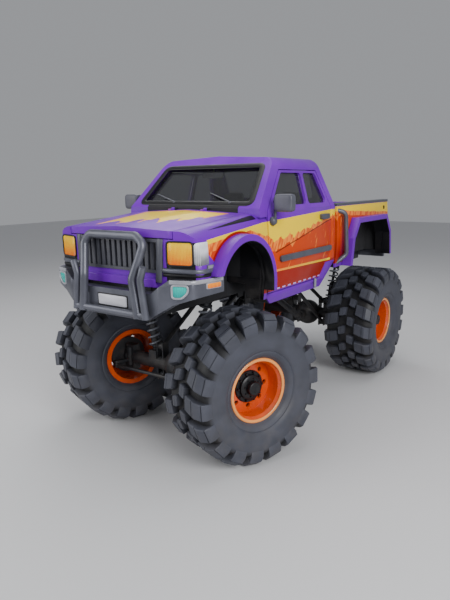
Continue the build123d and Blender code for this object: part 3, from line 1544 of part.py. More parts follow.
steer = math.radians(steer_rest_deg)
front_dx = -kingpin_offset * math.sin(steer)
front_y = kingpin_y + kingpin_offset * math.cos(steer)
wheel_rows = (
    # name, tyre, x, y, turn about Z
    ("front_left", tyre, front_axle_x + front_dx, front_y, steer_rest_deg),
    ("front_right", right_tyre, front_axle_x - front_dx, -front_y, 180 + steer_rest_deg),
    ("rear_left", tyre, rear_axle_x, half_track, 0),
    ("rear_right", right_tyre, rear_axle_x, -half_track, 180),
)
for name, sided_tyre, x, y, turn in wheel_rows:
    place = Location((x, y, axle_z), (0, 0, turn))
    save_placed(sided_tyre, "tyre_" + name, place)
    save_placed(rim, "rim_" + name, place)
    if name == "front_left":
        save_placed(knuckle(1), "knuckle_left", place)
    if name == "front_right":
        save_placed(knuckle(-1), "knuckle_right", place)

# Tie rod between the two steering arms
rod_x = front_axle_x + steer_arm_length * math.cos(steer)
rod_shift = steer_arm_length * math.sin(steer)
rod_z = axle_z + arm_low_z - running_gap - rod_eye_height / 2
with BuildPart() as tie_rod:
    with Locations((rod_x, rod_shift, rod_z)):
        Cylinder(tie_rod_radius, 2 * kingpin_y, rotation=(90, 0, 0))
    for side in (-1, 1):
        with Locations((rod_x, rod_shift + side * kingpin_y, rod_z)):
            Cylinder(ball_radius, rod_eye_height)
    for side in (-1, 1):
        with Locations((rod_x, rod_shift + side * kingpin_y, rod_z)):
            Cylinder(rod_pin_radius + bearing_gap, 4 * rod_eye_height, mode=Mode.SUBTRACT)
save(tie_rod, "tie_rod")
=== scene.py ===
import json
import math

import bmesh
import bpy
import numpy as np
from mathutils import Matrix, Vector


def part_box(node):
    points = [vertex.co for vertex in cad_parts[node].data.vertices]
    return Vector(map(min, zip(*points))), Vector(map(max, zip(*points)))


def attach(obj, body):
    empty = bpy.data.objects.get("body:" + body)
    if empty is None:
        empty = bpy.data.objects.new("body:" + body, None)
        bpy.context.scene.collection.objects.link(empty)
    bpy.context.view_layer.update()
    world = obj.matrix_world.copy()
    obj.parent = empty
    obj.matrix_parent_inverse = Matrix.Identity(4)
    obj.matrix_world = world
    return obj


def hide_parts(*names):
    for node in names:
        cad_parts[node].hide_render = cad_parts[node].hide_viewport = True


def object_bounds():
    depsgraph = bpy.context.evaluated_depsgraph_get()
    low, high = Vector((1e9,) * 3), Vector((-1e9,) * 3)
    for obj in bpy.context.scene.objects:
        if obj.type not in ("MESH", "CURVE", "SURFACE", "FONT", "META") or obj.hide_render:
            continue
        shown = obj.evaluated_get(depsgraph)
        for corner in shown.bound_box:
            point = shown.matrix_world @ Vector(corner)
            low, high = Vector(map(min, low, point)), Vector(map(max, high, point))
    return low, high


bl_info = {
    "name": "Lug Tyre Pickup",
    "version": (1, 0, 0),
    "blender": (4, 5, 0),
    "location": "View3D > Sidebar > Truck",
    "description": "Dresses the packed pickup frame: tyres, rims, paint, lamps, bars, cabin and stage",
    "category": "Object",
}

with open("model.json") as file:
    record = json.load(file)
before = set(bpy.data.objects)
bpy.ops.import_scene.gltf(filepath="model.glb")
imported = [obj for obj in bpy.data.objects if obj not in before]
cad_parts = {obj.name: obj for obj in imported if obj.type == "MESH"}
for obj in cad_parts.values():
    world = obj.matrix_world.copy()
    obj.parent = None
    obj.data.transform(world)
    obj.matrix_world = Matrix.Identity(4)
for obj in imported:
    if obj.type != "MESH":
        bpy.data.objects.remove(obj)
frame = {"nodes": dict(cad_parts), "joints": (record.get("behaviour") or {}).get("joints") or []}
nodes = frame["nodes"]
cad_low, cad_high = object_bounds()

WHEELS = ("front_left", "front_right", "rear_left", "rear_right")
SIDES = (("left", 1.0), ("right", -1.0))
SPIN = {joint["child"]: joint for joint in frame["joints"] if joint["name"].endswith("_spin")}


# Settings


def length(label, description, default):
    """A size in metres that shows in the sidebar."""
    return bpy.props.FloatProperty(name=label, description=description, default=default, unit="LENGTH")


def angle(label, description, default):
    """An angle in radians that shows in the sidebar."""
    return bpy.props.FloatProperty(name=label, description=description, default=default, subtype="ANGLE")


def colour(label, description, default):
    """A colour that shows in the sidebar."""
    return bpy.props.FloatVectorProperty(name=label, description=description, default=default,
                                         subtype="COLOR", size=3)


class TyreSettings(bpy.types.PropertyGroup):
    """Sizes of the tyres."""

    radius: length("Radius", "Radius over the lugs", (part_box("tyre_rear_left")[1].z - cad_low[2]) / 2)
    half_width: length("Half width", "Half the width over the shoulders", 0.31)
    lug_height: length("Lug height", "Height of a lug over the casing", 0.056)
    lug_width: length("Lug width", "Width of a lug along the tread", 0.148)
    lugs: bpy.props.IntProperty(name="Lugs", description="Shoulder lugs on each side", default=18)
    rubber: colour("Rubber", "Colour of the lugs and walls", (0.058, 0.062, 0.083))
    # Painted shade: near black between the lugs, and in part on their feet
    groove_shade: colour("Groove", "Colour between the lugs", (0.007, 0.007, 0.009))


class RimSettings(bpy.types.PropertyGroup):
    """Sizes and colours of the rims."""

    lip_radius: length("Lip radius", "Radius of the outer lip", 0.296)
    half_width: length("Half width", "Half the width over the lips", 0.23)
    disc_face: length("Disc face", "Offset of the disc's outer face", 0.08)
    dish: colour("Dish", "Colour of the dish", (0.74, 0.080, 0.002))
    lip: colour("Lip", "Colour of the lip", (0.98, 0.36, 0.08))


class PaintSettings(bpy.types.PropertyGroup):
    """Body colours."""

    purple: colour("Purple", "Body colour", (0.150, 0.004, 0.440))
    # Painted highlight colour, laid on the upper faces in blotches
    lilac_highlight: colour("Lilac", "Lighter body colour on upper faces", (0.310, 0.060, 0.700))
    yellow: colour("Yellow", "Brightest flame colour", (1.0, 0.68, 0.0))
    peach: colour("Peach", "Light flame colour", (0.98, 0.25, 0.030))
    orange: colour("Orange", "Deep flame colour", (0.60, 0.050, 0.0))
    ember: colour("Ember", "Darkest flame colour", (0.34, 0.010, 0.0))


class CameraSettings(bpy.types.PropertyGroup):
    """Where the camera stands."""

    place: bpy.props.FloatVectorProperty(
        name="Place", description="Camera position", default=(5.362, 3.412, 2.455), subtype="TRANSLATION",
        size=3)
    yaw: angle("Yaw", "Heading of the view", -2.523)
    pitch: angle("Pitch", "Tilt of the view", -0.24)
    roll: angle("Roll", "Roll of the view", -0.014)
    focal: bpy.props.FloatProperty(name="Focal length", description="Lens in mm", default=32.76)
    shift: bpy.props.FloatProperty(name="Shift", description="Vertical lens shift", default=0.030)


# Meshes from arrays


def quads(rows, cols, wrap_rows=False, wrap_cols=False):
    """Quad indices of a rows by cols grid of points, joined round where asked."""
    row_count = rows if wrap_rows else rows - 1
    col_count = cols if wrap_cols else cols - 1
    r0, c0 = np.meshgrid(np.arange(row_count), np.arange(col_count), indexing="ij")
    r1, c1 = (r0 + 1) % rows, (c0 + 1) % cols
    corners = [r0 * cols + c0, r1 * cols + c0, r1 * cols + c1, r0 * cols + c1]
    return np.stack(corners, -1).reshape(-1, 4)


def many(points, faces):
    """Stacks copies: points (copies, n, 3) with one copy's faces become one mesh."""
    copies, count = points.shape[:2]
    shift = (np.arange(copies) * count)[:, None, None]
    return points.reshape(-1, 3), (faces[None] + shift).reshape(-1, faces.shape[1])


def join(*parts):
    """Joins (points, faces) pairs into one pair."""
    starts = np.cumsum([0] + [len(points) for points, _ in parts[:-1]])
    points = np.concatenate([points for points, _ in parts])
    return points, np.concatenate([faces + start for (_, faces), start in zip(parts, starts)])


def both_sides(shape):
    """A shape with its mirror image across the middle of the truck."""
    points, faces = shape
    return join((points, faces), (points * (1, -1, 1), faces[:, ::-1]))


def revolve(profile, segments, closed=False):
    """Surface of revolution about Y: P(u, v) = (r(v) cos u, w(v), r(v) sin u); closed joins the ends."""
    profile = np.asarray(profile, float)
    u = np.linspace(0, 2 * np.pi, segments, endpoint=False)
    r, w = profile[:, 0], profile[:, 1]
    across = np.broadcast_to(w, (segments, len(w)))
    points = np.stack([np.outer(np.cos(u), r), across, np.outer(np.sin(u), r)], -1)
    return points.reshape(-1, 3), quads(segments, len(profile), wrap_rows=True, wrap_cols=closed)


def frames_along(path, facing=None):
    """Unit normal and binormal along a path; with facing, the path is closed and lies across it."""
    if facing is None:
        tangent = np.gradient(path, axis=0)
    else:
        tangent = np.roll(path, -1, 0) - np.roll(path, 1, 0)
    tangent /= np.linalg.norm(tangent, axis=1)[:, None]
    if facing is None:
        upright = np.abs(tangent[:, 2]).mean() > 0.8
        facing = (1.0, 0.0, 0.0) if upright else (0.0, 0.0, 1.0)
    normal = np.cross(tangent, facing)
    normal /= np.linalg.norm(normal, axis=1)[:, None]
    return normal, np.cross(tangent, normal)


def tube(path, radius, sides=14, squash=1.0):
    """Oval along a path, ends closed: P(s, a) = path(s) + radius(s) (cos a N(s) + squash sin a B(s))."""
    path = np.asarray(path, float)
    normal, binormal = frames_along(path)
    ends = [0, *range(len(path)), len(path) - 1]
    size = np.broadcast_to(np.asarray(radius, float), (len(path),))[ends].copy()
    size[[0, -1]] = 1e-5
    a = np.linspace(0, 2 * np.pi, sides, endpoint=False)[None, :, None]
    ring = np.cos(a) * normal[ends][:, None] + squash * np.sin(a) * binormal[ends][:, None]
    points = path[ends][:, None] + size[:, None, None] * ring
    return points.reshape(-1, 3), quads(len(ends), sides, wrap_cols=True)


def hoop(path, radius, sides=10, squash=1.0, facing=(1.0, 0.0, 0.0)):
    """As tube, along a closed path that faces the given way."""
    path = np.asarray(path, float)
    normal, binormal = frames_along(path, facing)
    a = np.linspace(0, 2 * np.pi, sides, endpoint=False)[None, :, None]
    points = path[:, None] + radius * (np.cos(a) * normal[:, None] + squash * np.sin(a) * binormal[:, None])
    return points.reshape(-1, 3), quads(len(path), sides, wrap_rows=True, wrap_cols=True)


def rounded_path(corners, radius, steps=8, closed=False):
    """Straight runs through the corners, each corner turned by a parabola that starts radius before it."""
    corners = np.asarray(corners, float)
    if closed:
        before, after = np.roll(corners, 1, 0), np.roll(corners, -1, 0)
        middle = corners
    else:
        before, middle, after = corners[:-2], corners[1:-1], corners[2:]

    def toward(target):
        step = target - middle
        reach = np.linalg.norm(step, axis=1)[:, None]
        return middle + step * np.minimum(radius / reach, 0.48)

    t = np.linspace(0, 1, steps)[None, :, None]
    start, end = toward(before)[:, None], toward(after)[:, None]
    bends = (1 - t) ** 2 * start + 2 * t * (1 - t) * middle[:, None] + t ** 2 * end
    bends = bends.reshape(-1, 3)
    return bends if closed else np.concatenate([corners[:1], bends, corners[-1:]])


def soft_power(values, power):
    """Values raised to a power with their sign kept."""
    return np.sign(values) * np.abs(values) ** power


def pillow(half, power=0.35, rows=24, cols=36):
    """Superellipsoid about the origin: P(u, v) = half (c(u) c(v), c(u) s(v), s(u)), c and s to a power."""
    u = np.linspace(-np.pi / 2, np.pi / 2, rows)
    v = np.linspace(0, 2 * np.pi, cols, endpoint=False)
    wide = soft_power(np.cos(u), power)
    x = np.outer(wide, soft_power(np.cos(v), power))
    y = np.outer(wide, soft_power(np.sin(v), power))
    z = np.outer(soft_power(np.sin(u), power), np.ones(cols))
    return np.stack([x, y, z], -1).reshape(-1, 3) * np.asarray(half), quads(rows, cols, wrap_cols=True)


def plate(centre, across, out, half, thickness, power=0.22, cols=64):
    """Rounded plate on a face: P(i, v) = centre + k(i) (a c(v) across + b s(v) up) + t(i) out.

    The rows i go from the middle of the front, over its edge, to the middle of the back.
    """
    across = np.asarray(across, float) / np.linalg.norm(across)
    out = np.asarray(out, float) / np.linalg.norm(out)
    up = np.cross(out, across)
    v = np.linspace(0, 2 * np.pi, cols, endpoint=False)
    ring = half[0] * soft_power(np.cos(v), power)[:, None] * across
    ring = ring + half[1] * soft_power(np.sin(v), power)[:, None] * up
    share = np.array([1e-5, 0.93, 0.98, 1.0, 1.0, 1e-5])
    rise = np.array([1.0, 1.0, 0.85, 0.55, 0.0, 0.0]) * thickness
    points = np.asarray(centre) + share[:, None, None] * ring[None] + rise[:, None, None] * out
    return points.reshape(-1, 3), quads(len(share), cols, wrap_cols=True)


def spun(points, count, start=0.0):
    """Copies of points turned about Y, count times round."""
    t = start + np.arange(count) * 2 * np.pi / count
    c, s = np.cos(t)[:, None], np.sin(t)[:, None]
    x, y, z = points.T[:, None]
    return np.stack([x * c - z * s, np.broadcast_to(y, (count, len(points))), x * s + z * c], -1)


def moved(shape, offset):
    """A shape shifted by an offset."""
    points, faces = shape
    return points + np.asarray(offset), faces


def placed(shape, matrix):
    """A shape moved by a 4 by 4 matrix."""
    points, faces = shape
    return points @ matrix[:3, :3].T + matrix[:3, 3], faces


def piece(name, shape, look, body, sharp=40.0, replaces=(), shade=None):
    """Makes one object of the model from a (points, faces) pair and a finish's name, riding on its body."""
    points, faces = shape
    mesh = bpy.data.meshes.new(name)
    mesh.from_pydata(points.tolist(), [], faces.tolist())
    if shade is not None:
        mesh.attributes.new("shade", "FLOAT", "POINT").data.foreach_set("value", shade.astype(np.float32))
    tidy_mesh(mesh)
    mesh.shade_smooth()
    mesh.set_sharp_from_angle(angle=math.radians(sharp))
    mesh.materials.append(finish[look])
    obj = bpy.data.objects.new(name, mesh)
    bpy.context.scene.collection.objects.link(obj)
    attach(obj, body)
    if replaces:
        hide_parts(*replaces)
    return obj


def tidy_mesh(mesh):
    """Merges doubled points at poles and tips and turns the faces outwards."""
    work = bmesh.new()
    work.from_mesh(mesh)
    bmesh.ops.remove_doubles(work, verts=work.verts, dist=2e-5)
    bmesh.ops.recalc_face_normals(work, faces=work.faces)
    work.to_mesh(mesh)
    work.free()


# Materials

# Black for undercoat on inner faces, and for painted shade on the faces inside the wheel arches
UNDERCOAT_AND_SHADE = (0.008, 0.008, 0.010)
DUST = (0.20, 0.17, 0.14)
# Front wheel arch in side view: middle, and the reach of the faces that line it
ARCH_X, ARCH_Z, ARCH_REACH = 1.485, 1.58, 0.412
# Rear wheel arch in side view: middle and top
BED_ARCH_X, BED_ARCH_TOP = -1.41, 1.989
# Faces nearer to the middle than this are inside the body
INNER_Y = 0.785
# Side flames stop here, between the doors' outer and inner faces
FLAME_Y = 0.765
FLAME_OUTPUTS = [("Color", "NodeSocketColor"), ("Mask", "NodeSocketFloat")]


def shader(name, **values):
    """A material with one Principled BSDF whose sockets take the constants; returns it with its nodes."""
    material = bpy.data.materials.new(name)
    material.use_nodes = True
    bsdf = material.node_tree.nodes["Principled BSDF"]
    for socket, value in values.items():
        target = bsdf.inputs[socket.replace("_", " ")]
        target.default_value = (*value, 1.0) if isinstance(value, tuple) else value
    return material, material.node_tree, bsdf


def feed(tree, socket, value):
    """Links a socket to an input, or sets the input to a number or a colour."""
    if isinstance(value, bpy.types.NodeSocket):
        tree.links.new(value, socket)
    elif isinstance(value, (int, float)):
        socket.default_value = value
    else:
        socket.default_value = (*value, 1.0)


def maths(tree, operation, a, b=0.0, clamp=False):
    """A Math node over sockets or numbers; returns its output."""
    node = tree.nodes.new("ShaderNodeMath")
    node.operation = operation
    node.use_clamp = clamp
    feed(tree, node.inputs[0], a)
    feed(tree, node.inputs[1], b)
    return node.outputs[0]


def below(tree, a, b):
    """One where a is less than b."""
    return maths(tree, "LESS_THAN", a, b)


def above(tree, a, b):
    """One where a is more than b."""
    return maths(tree, "GREATER_THAN", a, b)


def plus(tree, a, b, clamp=False):
    """a + b."""
    return maths(tree, "ADD", a, b, clamp)


def minus(tree, a, b, clamp=False):
    """a - b."""
    return maths(tree, "SUBTRACT", a, b, clamp)


def product(tree, a, b, clamp=False):
    """a b, or both of two masks."""
    return maths(tree, "MULTIPLY", a, b, clamp)


def larger(tree, a, b):
    """The larger of two values, or either of two masks."""
    return maths(tree, "MAXIMUM", a, b)


def smaller(tree, a, b):
    """The smaller of two values."""
    return maths(tree, "MINIMUM", a, b)


def size_of(tree, a):
    """A value without its sign."""
    return maths(tree, "ABSOLUTE", a)


def total(tree, *terms):
    """The sum of (socket, factor) terms."""
    parts = [product(tree, socket, factor) for socket, factor in terms]
    result = parts[0]
    for part in parts[1:]:
        result = plus(tree, result, part)
    return result


def span(tree, value, low, high, start, end):
    """Carries value from the range low to high over to start to end, held at both ends."""
    node = tree.nodes.new("ShaderNodeMapRange")
    for socket, setting in zip(node.inputs, (value, low, high, start, end)):
        feed(tree, socket, setting)
    return node.outputs[0]


def within(tree, value, low, high):
    """One between two bounds, nothing outside them."""
    return product(tree, above(tree, value, low), below(tree, value, high))


def mix(tree, factor, a, b):
    """Mixes two colours, each a socket or an RGB triple, by a factor socket or number."""
    node = tree.nodes.new("ShaderNodeMix")
    node.data_type = "RGBA"
    for socket, value in ((node.inputs["Factor"], factor), (node.inputs[6], a), (node.inputs[7], b)):
        feed(tree, socket, value)
    return node.outputs[2]


def object_axes(tree):
    """Object coordinates as a vector and as X, Y and Z."""
    where = tree.nodes.new("ShaderNodeTexCoord").outputs["Object"]
    split = tree.nodes.new("ShaderNodeSeparateXYZ")
    tree.links.new(where, split.inputs[0])
    return where, split.outputs["X"], split.outputs["Y"], split.outputs["Z"]


def noise(tree, where, scale, detail=3.0):
    """Noise from nothing to one over a vector."""
    node = tree.nodes.new("ShaderNodeTexNoise")
    feed(tree, node.inputs["Vector"], where)
    feed(tree, node.inputs["Scale"], scale)
    node.inputs["Detail"].default_value = detail
    return node.outputs["Fac"]


def streaks(tree, a, b, lean, along, across):
    """Noise drawn out into strokes that lean up from the axis a towards b by an angle in degrees."""
    c, s = math.cos(math.radians(lean)), math.sin(math.radians(lean))
    both = tree.nodes.new("ShaderNodeCombineXYZ")
    tree.links.new(total(tree, (a, c * along), (b, s * along)), both.inputs[0])
    tree.links.new(total(tree, (a, -s * across), (b, c * across)), both.inputs[1])
    return noise(tree, both.outputs[0], 1.0, 2.0)


def group(name, inputs, outputs):
    """An empty shader node group with named float inputs and named outputs (name, socket type)."""
    tree = bpy.data.node_groups.new(name, "ShaderNodeTree")
    for label, default in inputs:
        socket = tree.interface.new_socket(label, in_out="INPUT", socket_type="NodeSocketFloat")
        socket.default_value = default
    for label, kind in outputs:
        tree.interface.new_socket(label, in_out="OUTPUT", socket_type=kind)
    return tree, tree.nodes.new("NodeGroupInput").outputs, tree.nodes.new("NodeGroupOutput").inputs


def use(tree, name, **values):
    """Places a node group in a material with its own values."""
    node = tree.nodes.new("ShaderNodeGroup")
    node.node_tree = bpy.data.node_groups[name]
    for label, value in values.items():
        node.inputs[label.replace("_", " ")].default_value = value
    return node.outputs


def grain_group():
    """Fine grain: noise on object coordinates, as a bump height and as a mask for broad blotches."""
    outputs = [("Height", "NodeSocketFloat"), ("Blotch", "NodeSocketFloat")]
    tree, given, out = group("fine_grain", [("Scale", 400.0), ("Blotch Scale", 6.0)], outputs)
    where = object_axes(tree)[0]
    tree.links.new(noise(tree, where, given["Scale"]), out["Height"])
    broad = noise(tree, where, given["Blotch Scale"])
    tree.links.new(span(tree, broad, 0.35, 0.68, 0.0, 1.0), out["Blotch"])


def dust_group():
    """Road dust: thick low down, thinning with height, broken up by noise."""
    inputs = [("Low", 0.0), ("High", 1.0), ("Amount", 0.5)]
    tree, given, out = group("road_dust", inputs, [("Mask", "NodeSocketFloat")])
    where, _, _, z = object_axes(tree)
    fade = span(tree, z, given["Low"], given["High"], 1.0, 0.0)
    broken = span(tree, noise(tree, where, 9.0, 6.0), 0.38, 0.72, 0.0, 1.0)
    both = product(tree, fade, broken)
    tree.links.new(product(tree, both, given["Amount"], clamp=True), out["Mask"])


def body_group(paint):
    """Body purple with a painted highlight: lighter on faces high up, in slow random blotches."""
    tree, _, out = group("body_purple", [], [("Color", "NodeSocketColor")])
    where, _, _, z = object_axes(tree)
    # Painted highlight: upper faces lighter, broken up by slow noise
    high = span(tree, z, 1.9, 2.3, 0.0, 0.25)
    highlight_patch = product(tree, high, span(tree, noise(tree, where, 2.2, 2.0), 0.40, 0.62, 0.0, 1.0))
    tree.links.new(mix(tree, highlight_patch, tuple(paint.purple), tuple(paint.lilac_highlight)), out["Color"])


def arch_distance(tree, x, z):
    """Distance from the middle of the front wheel arch in side view."""
    across = maths(tree, "POWER", minus(tree, x, ARCH_X), 2.0)
    upward = maths(tree, "POWER", minus(tree, z, ARCH_Z), 2.0)
    return maths(tree, "SQRT", plus(tree, across, upward))


def shaded_arch_faces(tree, x, z):
    """One on the faces that line the front and rear wheel arches, zero outside them; these faces are painted
    black, as undercoat and as painted shade inside the arches.
    """
    round_top = below(tree, arch_distance(tree, x, z), ARCH_REACH)
    away = size_of(tree, minus(tree, x, ARCH_X))
    leg = product(tree, below(tree, away, ARCH_REACH), below(tree, z, ARCH_Z))
    front = larger(tree, round_top, leg)
    foot = span(tree, z, 1.50, 1.80, 0.646, 0.596)
    width = minus(tree, foot, span(tree, z, 1.80, 1.985, 0.0, 0.14))
    rear = below(tree, size_of(tree, minus(tree, x, BED_ARCH_X)), width)
    rear = product(tree, rear, below(tree, z, BED_ARCH_TOP))
    return larger(tree, front, rear)


def flame_colours(tree, paint, torn, yellow_end, orange_end, fine):
    """Bands by torn depth: yellow, then peach streaked with orange, then orange streaked with peach."""
    peach, orange = tuple(paint.peach), tuple(paint.orange)
    upper = mix(tree, span(tree, fine, 0.50, 0.56, 0.0, 0.75), peach, orange)
    lower = mix(tree, span(tree, fine, 0.64, 0.66, 0.0, 0.70), orange, peach)
    bands = mix(tree, above(tree, torn, yellow_end), tuple(paint.yellow), upper)
    return mix(tree, above(tree, torn, orange_end), bands, lower)


def side_flame_group(paint):
    """Flames of the fenders and doors, below an edge that rises to the rear.

    Leaning strokes tear the bands, an ember band hugs the wheel arch, a dark stroke of painted crease shade
    and a fine stripe run along the door, and a row of pale purple dash marks, a painted highlight, closes the
    foot.
    """
    tree, given, out = group("side_flames", [("Tear", 0.16)], FLAME_OUTPUTS)
    _, x, y, z = object_axes(tree)
    edge = plus(tree, span(tree, x, 1.94, 1.09, 2.030, 2.116), span(tree, x, 1.09, -0.36, 0.0, 0.056))
    depth = minus(tree, edge, z)
    stroke = streaks(tree, x, z, 115.0, 3.2, 12.0)
    fine = streaks(tree, x, z, 118.0, 4.0, 20.0)
    strength = product(tree, given["Tear"], span(tree, x, 1.2, 0.9, 0.15, 1.0))
    tear = product(tree, minus(tree, stroke, 0.5), strength)
    torn = plus(tree, depth, tear)
    deep = span(tree, x, 1.30, 0.92, 0.034, 0.175)
    yellow_end = minus(tree, deep, span(tree, x, 0.40, -0.15, 0.0, 0.095))
    crease = minus(tree, span(tree, x, 1.25, 0.87, 0.10, 0.30), span(tree, x, 0.87, -0.30, 0.0, 0.19))
    colour_out = flame_colours(tree, paint, torn, yellow_end, crease, fine)
    on_door = within(tree, x, -0.34, 0.885)
    # Painted crease shade: a dark stroke along the door where the crease would fall into shade
    crease_shade_line = product(tree, within(tree, minus(tree, depth, crease), -0.006, 0.006), on_door)
    colour_out = mix(tree, product(tree, crease_shade_line, 0.8), colour_out, (0.05, 0.006, 0.002))
    front = above(tree, x, 1.02)
    hug = product(tree, below(tree, arch_distance(tree, x, z), 0.487), front)
    colour_out = mix(tree, hug, colour_out, tuple(paint.ember))
    stripe = minus(tree, z, span(tree, x, 0.87, -0.37, 1.648, 1.627))
    foot = product(tree, below(tree, stripe, 0.0), below(tree, x, 1.02))
    colour_out = mix(tree, foot, colour_out, tuple(paint.ember))
    stripe_glow = mix(tree, span(tree, x, 0.9, -0.2, 0.0, 1.0), tuple(paint.peach), tuple(paint.yellow))
    fine_line = product(tree, within(tree, stripe, -0.011, 0.011), on_door)
    colour_out = mix(tree, fine_line, colour_out, stripe_glow)
    # Painted highlight: pale purple dash marks along the foot of the door
    gate = below(tree, maths(tree, "FRACT", product(tree, x, 9.0)), 0.55)
    dashed_highlight = product(tree, within(tree, z, 1.462, 1.476), product(tree, gate, on_door))
    colour_out = mix(tree, dashed_highlight, colour_out, (0.62, 0.42, 0.95))
    tree.links.new(colour_out, out["Color"])
    low_sill = above(tree, z, 1.458)
    behind_nose = below(tree, x, span(tree, z, 1.80, 1.92, 1.80, 1.93))
    mask = product(tree, above(tree, depth, 0.0), product(tree, low_sill, behind_nose))
    skin = above(tree, size_of(tree, y), FLAME_Y)
    tree.links.new(product(tree, mask, skin), out["Mask"])


def bed_flame_group(paint):
    """Flames of the bed: a yellow band that widens to the rear, orange strokes, ember at the foot."""
    tree, given, out = group("bed_flames", [("Tear", 0.035)], FLAME_OUTPUTS)
    _, x, y, z = object_axes(tree)
    run = plus(tree, x, y)
    depth = minus(tree, 2.195, z)
    tear = product(tree, minus(tree, streaks(tree, run, z, 118.0, 3.4, 12.0), 0.5), given["Tear"])
    yellow_end = span(tree, x, -0.69, -2.15, 0.055, 0.130)
    orange_end = plus(tree, yellow_end, 0.05)
    fine = streaks(tree, run, z, 118.0, 4.0, 20.0)
    colour_out = flame_colours(tree, paint, plus(tree, depth, tear), yellow_end, orange_end, fine)
    sunk = span(tree, z, 1.86, 1.66, 0.0, 1.0)
    tree.links.new(mix(tree, sunk, colour_out, tuple(paint.ember)), out["Color"])
    outer = larger(tree, above(tree, size_of(tree, y), INNER_Y), below(tree, x, -2.165))
    mask = product(tree, above(tree, depth, 0.0), above(tree, z, 1.545))
    tree.links.new(product(tree, mask, outer), out["Mask"])


def hood_flame_group(paint):
    """Yellow on the hood's rear that breaks into forward drips, with a peach seam, on upper faces alone."""
    tree, given, out = group("hood_flames", [("Reach", 1.86)], FLAME_OUTPUTS)
    _, x, y, _ = object_axes(tree)
    drip = streaks(tree, x, y, 8.0, 1.8, 8.0)
    reach = plus(tree, given["Reach"], product(tree, minus(tree, drip, 0.5), 0.9))
    reach = plus(tree, reach, span(tree, y, -0.50, 0.45, 0.14, -0.26))
    near = minus(tree, reach, x)
    inner = minus(tree, span(tree, x, 1.14, 1.9, 0.52, 0.40), size_of(tree, y))
    shown = smaller(tree, near, inner)
    shown = smaller(tree, shown, minus(tree, x, 1.20))
    seam = span(tree, shown, 0.0, 0.045, 0.0, 1.0)
    tree.links.new(mix(tree, seam, tuple(paint.peach), tuple(paint.yellow)), out["Color"])
    facing = tree.nodes.new("ShaderNodeSeparateXYZ")
    tree.links.new(tree.nodes.new("ShaderNodeTexCoord").outputs["Normal"], facing.inputs[0])
    top = above(tree, facing.outputs["Z"], 0.2)
    tree.links.new(product(tree, above(tree, shown, 0.0), top), out["Mask"])


def relief(tree, bsdf, height, strength, distance):
    """Feeds a height into the shader's normal."""
    bump = tree.nodes.new("ShaderNodeBump")
    bump.inputs["Strength"].default_value = strength
    bump.inputs["Distance"].default_value = distance
    tree.links.new(height, bump.inputs["Height"])
    tree.links.new(bump.outputs["Normal"], bsdf.inputs["Normal"])


def grain_bump(tree, bsdf, scale, strength):
    """Feeds fine grain into the shader's normal; returns the grain's outputs for its blotches."""
    grain = use(tree, "fine_grain", Scale=scale)
    relief(tree, bsdf, grain["Height"], strength, 0.001)
    return grain


def plain_finish(name, tone, roughness, grain=350.0, strength=0.15, dust=(), shade=0.75, **values):
    """A painted, moulded or cast finish: blotched colour, grain in the bump, and dust (low, high, amount)."""
    material, tree, bsdf = shader(name, **values)
    speck = grain_bump(tree, bsdf, grain, strength)
    tone_out = mix(tree, speck["Blotch"], tuple(c * shade for c in tone), tuple(tone))
    rough_out = span(tree, speck["Blotch"], 0.0, 1.0, max(roughness - 0.06, 0.02), min(roughness + 0.08, 1.0))
    if dust:
        soil = use(tree, "road_dust", Low=dust[0], High=dust[1], Amount=dust[2])
        tone_out = mix(tree, soil["Mask"], tone_out, DUST)
        rough_out = plus(tree, rough_out, product(tree, soil["Mask"], 0.35), clamp=True)
    tree.links.new(tone_out, bsdf.inputs["Base Color"])
    tree.links.new(rough_out, bsdf.inputs["Roughness"])
    return material


def body_paint(name, flames=None, inside=None):
    """Gloss purple with an even orange peel under a clear coat, and flames over it where a group is named.

    Faces nearer to the middle than the first value of inside, and lower than the second, are undercoat black;
    where inside is given, the faces that line the wheel arches are painted black too, undercoat and painted
    shade in one.
    """
    material, tree, bsdf = shader(name, Coat_Weight=0.12, Coat_Roughness=0.12, Specular_IOR_Level=0.2)
    speck = grain_bump(tree, bsdf, 220.0, 0.03)
    tone = use(tree, "body_purple")["Color"]
    if flames:
        over = use(tree, flames)
        tone = mix(tree, over["Mask"], tone, over["Color"])
    if inside:
        _, x, y, z = object_axes(tree)
        undercoat_and_shade = below(tree, size_of(tree, y), inside[0])
        undercoat_and_shade = product(tree, undercoat_and_shade, below(tree, z, inside[1]))
        # Painted shade: the faces inside the wheel arches go black with the undercoat
        undercoat_and_shade = larger(tree, undercoat_and_shade, shaded_arch_faces(tree, x, z))
        tone = mix(tree, undercoat_and_shade, tone, UNDERCOAT_AND_SHADE)
    soil = use(tree, "road_dust", Low=1.3, High=1.8, Amount=0.15)
    tree.links.new(mix(tree, soil["Mask"], tone, DUST), bsdf.inputs["Base Color"])
    tree.links.new(span(tree, speck["Blotch"], 0.0, 1.0, 0.30, 0.40), bsdf.inputs["Roughness"])
    return material


